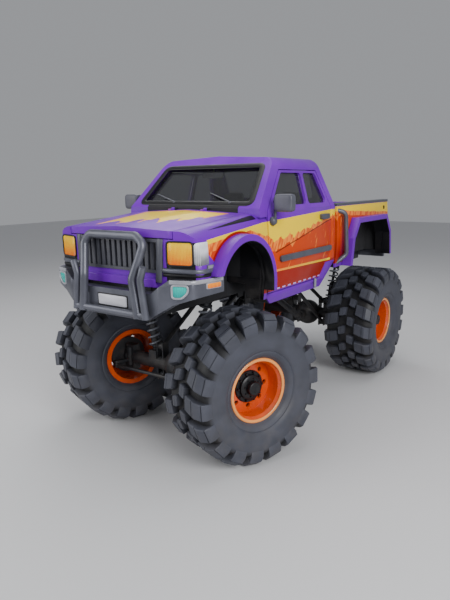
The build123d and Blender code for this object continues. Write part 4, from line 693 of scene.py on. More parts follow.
def fender_paint():
    """Body paint with flames and a near black vent opening that tapers along the shoulder, painted shade in
    place of the opening's hollow.
    """
    material = body_paint("fender_paint", "side_flames", (INNER_Y, 2.02))
    tree = material.node_tree
    bsdf = tree.nodes["Principled BSDF"]
    _, x, y, z = object_axes(tree)
    # Painted shade: near black where the vent opening on the shoulder would be
    low = span(tree, x, 1.83, 1.13, 2.098, 2.150)
    high = span(tree, x, 1.83, 1.18, 2.100, 2.180)
    slit_shade = product(tree, above(tree, z, low), below(tree, z, high))
    slit_shade = product(tree, slit_shade, within(tree, x, 1.15, 1.83))
    slit_shade = product(tree, slit_shade, above(tree, size_of(tree, y), 0.70))
    tone = bsdf.inputs["Base Color"].links[0].from_socket
    tree.links.new(mix(tree, slit_shade, tone, (0.006, 0.006, 0.008)), bsdf.inputs["Base Color"])
    return material


def tinted_glass():
    """Dark tinted glass, a little smeared."""
    tint = (0.30, 0.305, 0.32)
    material, tree, bsdf = shader("tinted_glass", Base_Color=tint, Transmission_Weight=0.97, IOR=1.45)
    speck = use(tree, "fine_grain", Blotch_Scale=4.0)
    tree.links.new(span(tree, speck["Blotch"], 0.0, 1.0, 0.02, 0.06), bsdf.inputs["Roughness"])
    return material


def lens(name, rim, lit_core, flutes, low, high):
    """Moulded lens: upright flutes in the bump, with painted light: the rim colour as painted shade at its
    foot and the brighter centre colour as a painted highlight above.
    """
    coat = {"Coat_Weight": 0.25, "Coat_Roughness": 0.03}
    material, tree, bsdf = shader(name, Roughness=0.12, Emission_Strength=0.12, **coat)
    where, _, _, z = object_axes(tree)
    wave = tree.nodes.new("ShaderNodeTexWave")
    wave.bands_direction = "Y"
    wave.inputs["Scale"].default_value = flutes
    tree.links.new(where, wave.inputs["Vector"])
    relief(tree, bsdf, wave.outputs["Fac"], 0.5, 0.004)
    # Painted light: darker at the foot and lighter above, as shade and highlight
    rise = span(tree, z, low, high, 0.0, 0.95)
    highlight_blend = plus(tree, rise, total(tree, (wave.outputs["Fac"], 0.2), (noise(tree, where, 14.0), 0.5)))
    highlight_blend = minus(tree, highlight_blend, 0.25, clamp=True)
    tone = mix(tree, highlight_blend, rim, lit_core)
    tree.links.new(tone, bsdf.inputs["Base Color"])
    tree.links.new(tone, bsdf.inputs["Emission Color"])
    return material


def tyre_rubber(tyre):
    """Slate rubber, painted near black as shade where the shade attribute marks the grooves between the lugs
    and the lugs' feet, dusty low down.
    """
    material, tree, bsdf = shader("tyre_rubber")
    speck = grain_bump(tree, bsdf, 160.0, 0.35)
    worn = mix(tree, speck["Blotch"], tuple(c * 0.72 for c in tyre.rubber), tuple(tyre.rubber))
    mark = tree.nodes.new("ShaderNodeAttribute")
    mark.attribute_name = "shade"
    tone = mix(tree, mark.outputs["Fac"], worn, tuple(tyre.groove_shade))
    soil = use(tree, "road_dust", Low=0.0, High=0.9, Amount=0.2)
    tree.links.new(mix(tree, soil["Mask"], tone, DUST), bsdf.inputs["Base Color"])
    tree.links.new(span(tree, speck["Blotch"], 0.0, 1.0, 0.50, 0.66), bsdf.inputs["Roughness"])
    return material


def heights(node):
    """Lowest and highest z of a node."""
    low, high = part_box(node)
    return low.z, high.z


def build_materials(scene):
    """All finishes, by name."""
    paint, rim = scene.truck_paint, scene.truck_rims
    grain_group()
    dust_group()
    for make in (body_group, side_flame_group, bed_flame_group, hood_flame_group):
        make(paint)
    low_dust, wheel_dust = (0.3, 1.6, 0.3), (0.1, 1.0, 0.12)
    coat = {"Coat_Weight": 0.4, "Coat_Roughness": 0.08}
    head, fog, tail = heights("headlamps"), heights("fog_lamps"), heights("tail_lamps")
    return {
        "purple": body_paint("purple_paint"),
        "sill": body_paint("sill_paint", None, (INNER_Y, 1.62)),
        "flare": body_paint("flare_paint", None, (0.0, 0.0)),
        "fender": fender_paint(),
        "door": body_paint("door_paint", "side_flames", (INNER_Y, 2.10)),
        "bed_paint": body_paint("bed_paint", "bed_flames", (INNER_Y, 1.70)),
        "hood": body_paint("hood_paint", "hood_flames"),
        "glass": tinted_glass(),
        "rubber": tyre_rubber(scene.truck_tyres),
        "rim": plain_finish("rim_enamel", tuple(rim.dish), 0.30, 200.0, 0.04, wheel_dust, 0.8, **coat),
        "lip": plain_finish("rim_lip", tuple(rim.lip), 0.28, 200.0, 0.04, wheel_dust, 0.85, **coat),
        "bars": plain_finish("bar_coat", (0.120, 0.125, 0.155), 0.34, 500.0, 0.25, Metallic=0.4),
        "pale": plain_finish("pale_trim", (0.42, 0.43, 0.47), 0.35, 500.0, 0.15, Metallic=0.3),
        "trim": plain_finish("grey_trim", (0.085, 0.088, 0.112), 0.40, 600.0, 0.2),
        "steel": plain_finish("chassis_black", (0.020, 0.021, 0.026), 0.48, 300.0, 0.3, low_dust,
                              Metallic=0.2),
        "cast": plain_finish("cast_iron", (0.060, 0.060, 0.066), 0.62, 120.0, 0.5, low_dust, Metallic=0.5),
        "spring": plain_finish("spring_enamel", (0.16, 0.17, 0.20), 0.35, 300.0, 0.1, low_dust, Metallic=0.3),
        "liner": plain_finish("liner_plastic", (0.012, 0.012, 0.015), 0.7, 250.0, 0.4),
        "bed": plain_finish("bed_liner", (0.028, 0.028, 0.032), 0.75, 140.0, 0.8),
        "grille": plain_finish("grille_plastic", (0.060, 0.062, 0.080), 0.42, 500.0, 0.15),
        "interior": plain_finish("cabin_plastic", (0.030, 0.031, 0.036), 0.6, 700.0, 0.3),
        "fabric": plain_finish("seat_fabric", (0.050, 0.045, 0.070), 0.85, 900.0, 0.6, Sheen_Weight=0.4),
        "plate": plain_finish("plate_white", (0.62, 0.62, 0.68), 0.35, 300.0, 0.05, (), 0.92),
        "mirror": plain_finish("mirror_silver", (0.60, 0.62, 0.66), 0.06, 400.0, 0.02, Metallic=1.0),
        "black": plain_finish("hub_black", (0.012, 0.012, 0.014), 0.4, 300.0, 0.2, Metallic=0.3),
        # Lenses: the first colour is painted shade at the foot, the second a painted highlight above
        "amber": lens("amber_lens", (0.80, 0.10, 0.0), (1.0, 0.62, 0.0), 26.0, *head),
        "clear": lens("clear_lens", (0.05, 0.052, 0.06), (0.80, 0.81, 0.86), 30.0, *head),
        "fog": lens("fog_lens", (0.0, 0.20, 0.19), (0.0, 0.52, 0.45), 22.0, *fog),
        "red": lens("red_lens", (0.30, 0.002, 0.004), (0.68, 0.01, 0.01), 26.0, *tail),
        "signal": lens("signal_lens", (0.75, 0.12, 0.0), (1.0, 0.34, 0.01), 40.0, 1.65, 1.70),
    }


# Finishes by name, filled when the panels are dressed
finish = {}


# Panels carried over from the frame

PANEL_FINISH = {
    # finish: nodes that take it
    "purple": "cab_back roof nose_panel bed_headboard".split(),
    "sill": ["cab_floor"],
    "flare": ["fender_flares"],
    "fender": ["front_fenders"],
    "door": "door_left door_right cab_sides".split(),
    "bed_paint": "bed_sides tailgate".split(),
    "hood": ["hood"],
    "glass": "windscreen rear_window door_glass_left door_glass_right".split(),
    "bars": "front_bumper rear_bumper bull_bar side_bars".split(),
    "trim": "bed_rail_caps door_trim_left door_trim_right mirror_left mirror_right".split(),
    "steel": ("chassis_frame suspension_links front_axle rear_axle driveshafts "
              "knuckle_left knuckle_right tie_rod").split(),
    "cast": "engine gearbox transfer_case radiator".split(),
    "spring": ["coilovers"],
    "liner": ["inner_fenders", "firewall"],
    "bed": ["bed_floor"],
    "grille": ["grille"],
    "interior": "dashboard steering_wheel".split(),
    "fabric": ["seats"],
    "amber": ["headlamps"],
    "clear": ["corner_lamps"],
    "fog": ["fog_lamps"],
    "red": ["tail_lamps"],
    "rubber": ["tyre_" + wheel for wheel in WHEELS],
    "rim": ["rim_" + wheel for wheel in WHEELS],
}
NO_BEVEL = {"glass", "rubber", "rim", "spring", "fabric"}
SOFT_EDGE = 0.006
SMALL_EDGE = {"grille": 0.003, "steel": 0.004}


def soften(obj, width):
    """Rounds an object's hard edges by a bevel, over welded and flattened faces."""
    weld = obj.modifiers.new("Weld", "WELD")
    weld.merge_threshold = 0.0002
    flat = obj.modifiers.new("Flat faces", "DECIMATE")
    flat.decimate_type = "DISSOLVE"
    flat.angle_limit = math.radians(0.5)
    bevel = obj.modifiers.new("Soft edges", "BEVEL")
    bevel.width = width
    bevel.segments = 2
    bevel.limit_method = "ANGLE"
    bevel.angle_limit = math.radians(38)


class TRUCK_OT_panels(bpy.types.Operator):
    """Gives every packed panel its finish and softens its edges"""

    bl_idname = "truck.panels"
    bl_label = "Dress Panels"

    def execute(self, context):
        finish.update(build_materials(context.scene))
        for name, members in PANEL_FINISH.items():
            for member in members:
                obj = nodes[member]
                obj.data.materials.clear()
                obj.data.materials.append(finish[name])
                if name not in NO_BEVEL:
                    soften(obj, SMALL_EDGE.get(name, SOFT_EDGE))
        return {"FINISHED"}


# Wheels


def wheel_place(name):
    """Matrix from a wheel's own axes (Y out along the axle, Z up) to the model's, from its spin joint."""
    joint = SPIN["wheel_" + name]
    centre, axis = np.array(joint["pos_m"]), np.array(joint["axis"])
    out = axis / np.linalg.norm(axis) * math.copysign(1.0, centre[1])
    place = np.eye(4)
    place[:3, 0] = (out[1], -out[0], 0.0)
    place[:3, 1] = out
    place[:3, 3] = centre
    return place


def casing_profile(tyre, rim):
    """Outline of the casing as (radius, offset) rows: crown to bead, the inside, and the mirror image."""
    crown, half, seat = tyre.radius - tyre.lug_height, tyre.half_width, rim.lip_radius
    outer = np.array([
        (crown + 0.002, 0.0), (crown, 0.32 * half), (crown - 0.004, 0.61 * half),
        (crown - 0.014, 0.73 * half), (crown - 0.040, 0.87 * half), (crown - 0.062, 0.94 * half),
        (crown - 0.10, 0.967 * half),
        (crown - 0.165, 0.970 * half), (crown - 0.22, 0.955 * half), (crown - 0.258, 0.915 * half),
        (crown - 0.266, 0.885 * half), (crown - 0.276, 0.895 * half), (seat + 0.036, 0.86 * half),
        (seat + 0.016, 0.80 * half), (seat + 0.004, 0.725 * half), (seat - 0.008, 0.70 * half),
        (seat - 0.016, 0.63 * half),
    ])
    inner = np.array([(seat + 0.06, 0.60 * half), (crown - 0.09, 0.80 * half), (crown - 0.06, 0.0)])
    mirror = (1, -1)
    return np.concatenate([outer, inner, inner[-2::-1] * mirror, outer[:0:-1] * mirror])


def along_rows(rows, times):
    """Points along a polyline of (radius, offset) rows, at fractions of its length."""
    steps = np.linalg.norm(np.diff(rows, axis=0), axis=1)
    along = np.concatenate([[0], np.cumsum(steps)]) / steps.sum()
    return np.stack([np.interp(times, along, rows[:, 0]), np.interp(times, along, rows[:, 1])], -1)


LUG_ACROSS = np.array([-1.0, -0.97, -0.86, 0.86, 0.97, 1.0])
LUG_RISE = np.array([0.0, 0.88, 1.0, 1.0, 0.88, 0.0])


def lug_ring(count, phase, foot, top, turn, widths, side):
    """A ring of lugs; station s of a lug spans six points, foot to foot over its top:

    P(s, k) = (r cos u, w, r sin u), with u = phase + turn(s) + width(s) across(k) / r, and r and w going from
    foot(s) to top(s) by rise(k).
    """
    rise = LUG_RISE[None, :, None]
    rows = foot[:, None] * (1 - rise) + top[:, None] * rise
    r, w = rows[..., 0][None], rows[..., 1][None] * side
    copies = np.arange(count)[:, None, None] * 2 * np.pi / count
    u = phase + copies + turn[None, :, None] + (widths[:, None] * LUG_ACROSS)[None] / r
    points = np.stack([r * np.cos(u), np.broadcast_to(w, u.shape), r * np.sin(u)], -1)
    ends = np.array([[0, 1, 4, 5], [1, 2, 3, 4]])
    body = quads(len(foot), 6, wrap_cols=True)
    faces = np.concatenate([body, ends[:, ::-1], ends + (len(foot) - 1) * 6])
    # Painted shade: each lug's feet are marked 0.85 towards the near black shade colour, its top not at all
    shade = np.tile(np.where(LUG_RISE > 0.5, 0.0, 0.85), count * len(foot))
    return (*many(points.reshape(count, -1, 3), faces), shade)


LUG_LEAN = math.tan(math.radians(15.0))
LUG_MIDDLE = 0.181
LUG_TAPER = 0.10
# Cross cuts as shares of a lug: half their length, the run of their ends, and their depth
CUT_HALF, CUT_RUN, CUT_DEPTH = 0.012, 0.002, 0.16


def lug_rows(tyre):
    """Foot and top rows, cross cuts, half width and turn of the two kinds of lug."""
    crown, radius, half = tyre.radius - tyre.lug_height, tyre.radius, tyre.half_width
    sunk = crown - 0.006
    long_foot = [(sunk, 0.360 * half), (sunk, 0.55 * half), (crown - 0.012, 0.70 * half),
                 (crown - 0.046, 0.855 * half), (crown - 0.078, 0.915 * half), (crown - 0.106, 0.930 * half)]
    long_top = [(radius, 0.368 * half), (radius, 0.58 * half), (radius - 0.002, 0.80 * half),
                (radius - 0.054, 0.995 * half), (radius - 0.086, 0.995 * half), (crown - 0.100, 0.960 * half)]
    short_foot = [(sunk, 0.035 * half), (sunk, 0.16 * half), (sunk, 0.31 * half)]
    short_top = [(radius, 0.055 * half), (radius, 0.16 * half), (radius - 0.001, 0.295 * half)]
    return (
        # foot, top, cuts, half width, turn in pitches
        (np.array(long_foot), np.array(long_top), (0.30, 0.62), tyre.lug_width / 2, 0.0),
        (np.array(short_foot), np.array(short_top), (0.5,), 0.37 * tyre.lug_width, 0.28),
    )


def lug_tyre(tyre, rim, hand):
    """Casing, shoulder lugs on both sides half a pitch apart, and two rows of middle blocks, with shade."""
    crown = tyre.radius - tyre.lug_height
    shell = revolve(casing_profile(tyre, rim), 144, closed=True)
    reach = np.hypot(shell[0][:, 0], shell[0][:, 2])
    # Painted shade on the casing: full between the lugs near the crown, fading out down the walls
    parts = [(*shell, np.clip((reach - crown + 0.105) / 0.05, 0.0, 1.0))]
    pitch = 2 * np.pi / tyre.lugs
    for side, shift in ((1.0, 0.0), (-1.0, 0.5)):
        for foot, top, cuts, width, turn in lug_rows(tyre):
            edges = np.array([-CUT_HALF, CUT_RUN - CUT_HALF, CUT_HALF - CUT_RUN, CUT_HALF])
            notches = (np.array(cuts)[:, None] + edges).ravel()
            times = np.sort(np.concatenate([np.linspace(0, 1, len(foot)), notches]))
            feet, tops = along_rows(foot, times), along_rows(top, times)
            in_cut = (np.abs(times[:, None] - np.array(cuts)) < CUT_HALF - CUT_RUN / 2).any(1)
            tops = np.where(in_cut[:, None], tops + (feet - tops) * CUT_DEPTH, tops)
            lean = hand * LUG_LEAN * (LUG_MIDDLE - tops[:, 1]) / tops[:, 0]
            widths = width * (1.0 - LUG_TAPER * np.abs(2 * times - 1) ** 3)
            parts.append(lug_ring(tyre.lugs, pitch * (shift + turn * hand), feet, tops, lean, widths, side))
    return join(*[part[:2] for part in parts]), np.concatenate([part[2] for part in parts])


class TRUCK_OT_tyres(bpy.types.Operator):
    """Makes the four lug tyres"""

    bl_idname = "truck.tyres"
    bl_label = "Make Tyres"

    def execute(self, context):
        for name in WHEELS:
            hand = 1.0 if name.endswith("left") else -1.0
            shape, shade = lug_tyre(context.scene.truck_tyres, context.scene.truck_rims, hand)
            piece("lug_tyre_" + name, placed(shape, wheel_place(name)), "rubber", "wheel_" + name,
                  32.0, ["tyre_" + name], shade)
        return {"FINISHED"}


def bolt_ring(count, circle, face, across, height, start=0.0):
    """Six-sided bolt heads on a circle about Y: a hexagon at two heights, a smaller one and its middle."""
    a = np.linspace(0, 2 * np.pi, 6, endpoint=False)
    hexagon = np.stack([np.cos(a), np.zeros(6), np.sin(a)], -1)
    rows = [(across / 2, 0.0), (across / 2, 0.8 * height), (0.38 * across, height), (1e-6, height)]
    head = np.concatenate([hexagon * size + (0, rise, 0) for size, rise in rows]) + (circle, face, 0)
    return many(spun(head, count, start), quads(len(rows), 6, wrap_cols=True))


class TRUCK_OT_rims(bpy.types.Operator):
    """Adds the rolled lips, black hubs and bolts to the rims"""

    bl_idname = "truck.rims"
    bl_label = "Dress Rims"

    def execute(self, context):
        rim = context.scene.truck_rims
        face = rim.disc_face
        a = np.linspace(0, 2 * np.pi, 20, endpoint=False)
        oval = (rim.lip_radius - 0.0135 + 0.016 * np.cos(a), rim.half_width - 0.006 + 0.010 * np.sin(a))
        lip = revolve(np.stack(oval, -1), 96, closed=True)
        cover = [
            # radius, offset from the disc's face
            (0.150, -0.008), (0.150, 0.008), (0.144, 0.014), (0.1145, 0.016), (0.1145, 0.042), (0.098, 0.054),
            (0.068, 0.0545), (0.0655, 0.062), (0.0655, 0.078), (0.0625, 0.0925), (0.0585, 0.0985),
            (0.052, 0.1005), (0.030, 0.1005), (0.026, 0.0985), (0.001, 0.0985), (0.001, -0.008),
        ]
        hub = join(revolve(np.array(cover) + (0.0, face), 64, closed=True),
                   bolt_ring(10, 0.131, face + 0.013, 0.024, 0.022),
                   bolt_ring(8, 0.083, face + 0.053, 0.017, 0.012, 0.2))
        for name in WHEELS:
            place = wheel_place(name)
            piece("rim_lip_" + name, placed(lip, place), "lip", "wheel_" + name)
            piece("hub_" + name, placed(hub, place), "black", "wheel_" + name)
        return {"FINISHED"}


class TRUCK_OT_springs(bpy.types.Operator):
    """Winds the coil springs round their dampers"""

    bl_idname = "truck.springs"
    bl_label = "Wind Springs"

    def execute(self, context):
        low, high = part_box("coilovers")
        foot_y, top_y = 0.29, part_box("chassis_frame")[1].y - 0.048
        turns, coil_radius, wire = 8.5, 0.055, 0.0105
        damper = np.array([
            # share of the length, radius
            (0.0, 0.026), (0.03, 0.026), (0.05, 0.034), (0.08, 0.034), (0.085, 0.064), (0.10, 0.064),
            (0.105, 0.036), (0.52, 0.036), (0.525, 0.034), (0.53, 0.017), (0.90, 0.017), (0.905, 0.062),
            (0.93, 0.062), (0.935, 0.032), (0.97, 0.028), (1.0, 0.028),
        ])
        coils, rods = [], []
        for axle in ("front", "rear"):
            x = np.mean([joint["pos_m"][0] for name, joint in SPIN.items() if axle in name])
            for _, side in SIDES:
                foot, head = np.array((x, side * foot_y, low.z)), np.array((x, side * top_y, high.z))
                across = np.cross((head - foot) / np.linalg.norm(head - foot), (1.0, 0.0, 0.0))
                t = np.linspace(0.10, 0.90, 260)[:, None]
                turn = t * 2 * np.pi * turns
                circle = np.cos(turn) * np.array((1.0, 0.0, 0.0)) + np.sin(turn) * across
                coils.append(tube(foot + (head - foot) * t + coil_radius * circle, wire, 10))
                rods.append(tube(foot + (head - foot) * damper[:, :1], damper[:, 1], 20))
        piece("coil_springs", join(*coils), "spring", "chassis", 60.0, ["coilovers"])
        piece("dampers", join(*rods), "steel", "chassis", 30.0)
        return {"FINISHED"}


# Front end


NOSE_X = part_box("hood")[1].x
NOSE_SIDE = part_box("cab_sides")[1].y
NOSE_FLAT = NOSE_SIDE - 0.25
NOSE_SWEEP = 0.06


def nose_at(y, out=0.0):
    """X of the nose at a distance from the middle: flat, then swept back evenly."""
    return NOSE_X + out - NOSE_SWEEP * np.clip((np.abs(y) - NOSE_FLAT) / (NOSE_SIDE - NOSE_FLAT), 0.0, 1.0)


def nose_band(start_y, end_x, z, out):
    """Level path along the left half of the nose and round its corner."""
    corners = [(NOSE_X + out, start_y, z), (NOSE_X + out, NOSE_FLAT, z),
               (NOSE_X - NOSE_SWEEP + out, NOSE_SIDE + out, z), (end_x, NOSE_SIDE + out, z)]
    return rounded_path(corners, 0.11)


BUMPER_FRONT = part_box("front_bumper")[1].x
BUMPER_END = (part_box("front_bumper")[0].x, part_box("front_bumper")[1].y)
BUMPER_CORNER = (BUMPER_FRONT - 0.09, BUMPER_END[1] - 0.06)
BUMPER_FLAT = 0.52


def bumper_at(y, out=0.0):
    """X of the bumper's front at a distance from the middle."""
    share = np.clip((np.abs(y) - BUMPER_FLAT) / (BUMPER_CORNER[1] - BUMPER_FLAT), 0.0, 1.0)
    return BUMPER_FRONT + out + (BUMPER_CORNER[0] - BUMPER_FRONT) * share


def outline(corners, radius, face, out):
    """Closed rounded outline through (y, z) corners, laid in front of a face that gives x by y."""
    path = rounded_path([(0.0, y, z) for y, z in corners], radius, closed=True)
    path[:, 0] = face(path[:, 1], out)
    return path


class TRUCK_OT_lamp_trim(bpy.types.Operator):
    """Frames the headlamps and adds the bars below and beside them"""

    bl_idname = "truck.lamp_trim"
    bl_label = "Trim Lamps"

    def execute(self, context):
        low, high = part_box("headlamps")
        inner_y, outer_y = 0.541, high.y + 0.004
        corners = [(inner_y, low.z - 0.004), (outer_y, low.z - 0.004),
                   (outer_y, high.z + 0.004), (inner_y, high.z + 0.004)]
        rim = hoop(outline(corners, 0.035, nose_at, 0.002), 0.007)
        bar = tube(nose_band(0.50, 1.87, 1.792, 0.002), 0.014, 12, 1.45)
        gap = tube(nose_band(0.50, 1.90, 1.757, 0.001), 0.009, 12, 1.6)
        post = rounded_path([(NOSE_X + 0.008, 0.452, 1.695), (NOSE_X + 0.010, 0.458, 1.74),
                             (NOSE_X + 0.010, 0.474, 2.00), (NOSE_X + 0.004, 0.476, 2.042)], 0.05)
        marker = plate((1.905, NOSE_SIDE + 0.001, 1.822), (-1, 0, 0), (0, 1, 0), (0.055, 0.015), 0.008)
        pairs = (
            # name, left one, finish, slot
            ("lamp_frames", rim, "black", "grille_dark"),
            ("lamp_bars", bar, "bars", "grey_bar"),
            ("lamp_bar_shadows", gap, "black", "grille_dark"),
            ("grille_posts", tube(post, 0.032, 16, 0.45), "trim", "grey_trim"),
            ("fender_markers", marker, "clear", "clear_lens"),
        )
        for name, shape, look, slot in pairs:
            piece(name, both_sides(shape), look, "chassis")
        ledge = plate((NOSE_X - 0.002, 0.0, 1.680), (0, 1, 0), (1, 0, 0), (0.425, 0.038), 0.020, 0.14)
        piece("valance_ledge", ledge, "purple", "chassis")
        splash = plate((NOSE_X - 0.055, 0.0, 1.600), (0, 1, 0), (1, 0, 0), (0.50, 0.075), 0.008, 0.14)
        piece("splash_panel", splash, "liner", "chassis")
        return {"FINISHED"}


class TRUCK_OT_bumper_trim(bpy.types.Operator):
    """Adds the bumper's pale top band, fog lamp rims, side signals and bare plate"""

    bl_idname = "truck.bumper_trim"
    bl_label = "Trim Bumper"

    def execute(self, context):
        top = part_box("front_bumper")[1].z - 0.014
        path = rounded_path([(bumper_at(0.615, -0.001), 0.615, top), (*BUMPER_CORNER, top),
                             (BUMPER_END[0] + 0.015, BUMPER_END[1] - 0.002, top)], 0.06)
        fog_low, fog_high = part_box("fog_lamps")
        inner_y, outer_y, cut = fog_high.y - 0.130, fog_high.y, 0.052
        corners = [(inner_y, fog_low.z), (outer_y - cut, fog_low.z), (outer_y, fog_low.z + cut),
                   (outer_y, fog_high.z), (inner_y, fog_high.z)]
        rim = hoop(outline(corners, 0.024, bumper_at, 0.001), 0.009)
        wing = np.array((BUMPER_END[0] - BUMPER_CORNER[0], BUMPER_END[1] - BUMPER_CORNER[1], 0.0))
        out = np.cross(wing, (0, 0, 1.0))
        out = out / np.linalg.norm(out)
        spot = np.array((*BUMPER_CORNER, 1.674)) + wing * 0.66 - out * 0.001
        backing = plate(spot, wing, out, (0.082, 0.026), 0.006)
        signal = plate(spot, wing, out, (0.072, 0.019), 0.011)
        pairs = (
            # name, left one, finish, slot
            ("bumper_bands", tube(path, 0.007, 12, 2.4), "pale", "grey_bar"),
            ("fog_rims", rim, "pale", "grey_bar"),
            ("signal_rims", backing, "pale", "grey_bar"),
            ("side_signals", signal, "signal", "amber_lens"),
        )
        for name, shape, look, slot in pairs:
            piece(name, both_sides(shape), look, "chassis")
        face = (BUMPER_FRONT - 0.001, 0.0, 1.512)
        frame_plate = plate(face, (0, 1, 0), (1, 0, 0), (0.182, 0.056), 0.005, 0.12)
        blank = plate(face, (0, 1, 0), (1, 0, 0), (0.170, 0.045), 0.009, 0.12)
        piece("plate_holder", frame_plate, "black", "chassis")
        piece("blank_plate", blank, "plate", "chassis")
        return {"FINISHED"}


# Cab


GLASS_FOOT = (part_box("windscreen")[1].x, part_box("windscreen")[0].z)
GLASS_HEAD = (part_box("windscreen")[0].x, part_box("windscreen")[1].z)


def on_screen(y, z, off):
    """Points a distance off the windscreen, which leans by half a right angle, from their y and z."""
    share = (z - GLASS_FOOT[1]) / (GLASS_HEAD[1] - GLASS_FOOT[1])
    lift = 0.7 * off
    x = GLASS_FOOT[0] + (GLASS_HEAD[0] - GLASS_FOOT[0]) * share + lift
    return np.stack([x, y, z + lift], -1)


class TRUCK_OT_wipers(bpy.types.Operator):
    """Lays the two wipers on the foot of the windscreen"""

    bl_idname = "truck.wipers"
    bl_label = "Lay Wipers"

    def execute(self, context):
        parts, pivot_z = [], 2.276
        pivots = (
            # pivot y, tip y, tip z
            (0.44, 0.13, 2.362),
            (-0.24, -0.55, 2.352),
        )
        for pivot_y, tip_y, tip_z in pivots:
            share = np.linspace(0.0, 1.0, 9)
            y = pivot_y + (tip_y - pivot_y) * share
            z = pivot_z + (tip_z - pivot_z) * share
            arm = on_screen(y[:7], z[:7], 0.020)
            arm[0] += (0.012, 0.0, -0.006)
            parts.append(tube(arm, np.linspace(0.009, 0.005, 7), 8))
            blade = on_screen(y[3:], z[3:] + 0.006, 0.008)
            parts.append(tube(blade, 0.0075, 8, 0.8))
            boss = revolve([(1e-5, -0.02), (0.016, -0.02), (0.016, 0.012), (0.011, 0.018), (1e-5, 0.018)], 16)
            upright = boss[0][:, [0, 2, 1]] + arm[0]
            parts.append((upright, boss[1]))
        piece("wipers", join(*parts), "trim", "chassis")
        return {"FINISHED"}


class TRUCK_OT_seals(bpy.types.Operator):
    """Lays the black rubber seal round the windscreen and the pale clamps on the sills"""

    bl_idname = "truck.seals"
    bl_label = "Lay Seals and Clamps"

    def execute(self, context):
        low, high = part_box("windscreen")
        head_half, base_z = 0.596, 2.24
        corners = [(low.z, high.y), (low.z, -high.y), (high.z, -head_half), (high.z, head_half)]
        face = [(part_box("cab_sides")[1].x + base_z - z, y, z) for z, y in corners]
        ring = hoop(rounded_path(face, 0.06, closed=True), 0.030, 12, 0.22, (0.707, 0.0, 0.707))
        piece("screen_seal", ring, "black", "chassis")
        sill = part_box("cab_floor")[1].y
        clamps = [plate((0.03, side * sill, 1.405), (1, 0, 0), (0, side, 0), (0.018, 0.048), 0.012, 0.3)
                  for side in (1, -1)]
        piece("sill_clamps", join(*clamps), "pale", "chassis")
        return {"FINISHED"}


class TRUCK_OT_mirrors(bpy.types.Operator):
    """Adds the mirror inside the windscreen, rounds the door mirrors and silvers their glass"""

    bl_idname = "truck.mirrors"
    bl_label = "Add Mirrors"

    def execute(self, context):
        place = np.array((GLASS_HEAD[0] - 0.020, -0.05, GLASS_HEAD[1] - 0.085))
        head = moved(pillow((0.014, 0.130, 0.033), 0.45), place)
        stalk = tube(place + np.array([(-0.004, 0, 0.01), (-0.012, 0, 0.05), (-0.012, 0, 0.10)]), 0.008, 10)
        piece("cabin_mirror", join(head, stalk), "plate", "chassis")
        for name, side in SIDES:
            low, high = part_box("mirror_" + name)
            middle = (low.x + 0.0005, side * (max(abs(low.y), abs(high.y)) - 0.095), high.z - 0.080)
            glass = plate(middle, (0, -1, 0), (-1, 0, 0), (0.080, 0.064), 0.004)
            piece("mirror_glass_" + name, glass, "mirror", "door_" + name)
            middle_x = (low.x + high.x) / 2
            head = moved(pillow((0.050, 0.095, 0.080), 0.36), (middle_x, *middle[1:]))
            ball = np.array((middle_x, side * NOSE_SIDE, low.z + 0.042))
            bend = ball + np.array([(0, 0.010, 0), (0, 0.023, 0.03), (0, 0.023, 0.11)]) * (1, side, 1)
            shape = join(head, tube(bend, 0.014), moved(pillow((0.042, 0.042, 0.042), 1.0), ball))
            piece("mirror_head_" + name, shape, "trim", "door_" + name, 50.0, ["mirror_" + name])
        return {"FINISHED"}


SEAMS = np.array((-0.15, -0.05, 0.05, 0.15))
SEAM_WIDTH, SWELL = 0.012, 0.12


def sewn_pad(half, axis, depth):
    """Crowned pad with sewn channels: a superellipsoid drawn in along an axis on lines of constant y."""
    points, faces = pillow(half, 0.40, 40, 72)
    gap = np.abs(points[:, 1][:, None] - SEAMS[None]).min(1)
    draw = 1.0 - depth * np.exp(-(gap / SEAM_WIDTH) ** 2)
    crown = 1.0 + SWELL * np.cos(points[:, 1] / half[1] * np.pi / 2)
    points[:, axis] *= draw * crown / (1.0 + SWELL)
    return points, faces


def leant(shape, offset, foot, lean):
    """A shape moved by an offset, then sheared back in x from foot (x, z) upwards."""
    points, faces = moved(shape, offset)
    points[:, 0] += foot[0] - lean * (points[:, 2] - foot[1])
    return points, faces


class TRUCK_OT_seats(bpy.types.Operator):
    """Pads the two seats"""

    bl_idname = "truck.seats"
    bl_label = "Pad Seats"

    def execute(self, context):
        low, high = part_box("seats")
        lean, foot = 0.167, (low.x + 0.148, low.z + 0.22)
        seat_x = high.x - 0.30
        first = True
        for name, side in SIDES:
            middle_y = side * (high.y - 0.24)
            base = moved(pillow((0.25, 0.20, 0.045), 0.2), (seat_x, middle_y, low.z + 0.046))
            piece("seat_base_" + name, base, "interior", "chassis")
            cushion = moved(sewn_pad((0.285, 0.228, 0.083), 2, 0.14), (seat_x, middle_y, low.z + 0.170))
            back = sewn_pad((0.058, 0.228, 0.205), 0, 0.20)
            back = leant(back, (0.0, middle_y, foot[1] + 0.215), foot, lean)
            rest = pillow((0.045, 0.125, 0.058), 0.5, 40, 72)
            rest = leant(rest, (0.0, middle_y, high.z - 0.060), foot, lean)
            for label, shape in (("cushion", cushion), ("back", back), ("headrest", rest)):
                obj = piece(f"seat_{label}_{name}", shape, "fabric", "chassis", 70.0,
                            ["seats"] if first else ())
                first = False
        return {"FINISHED"}


# Bed


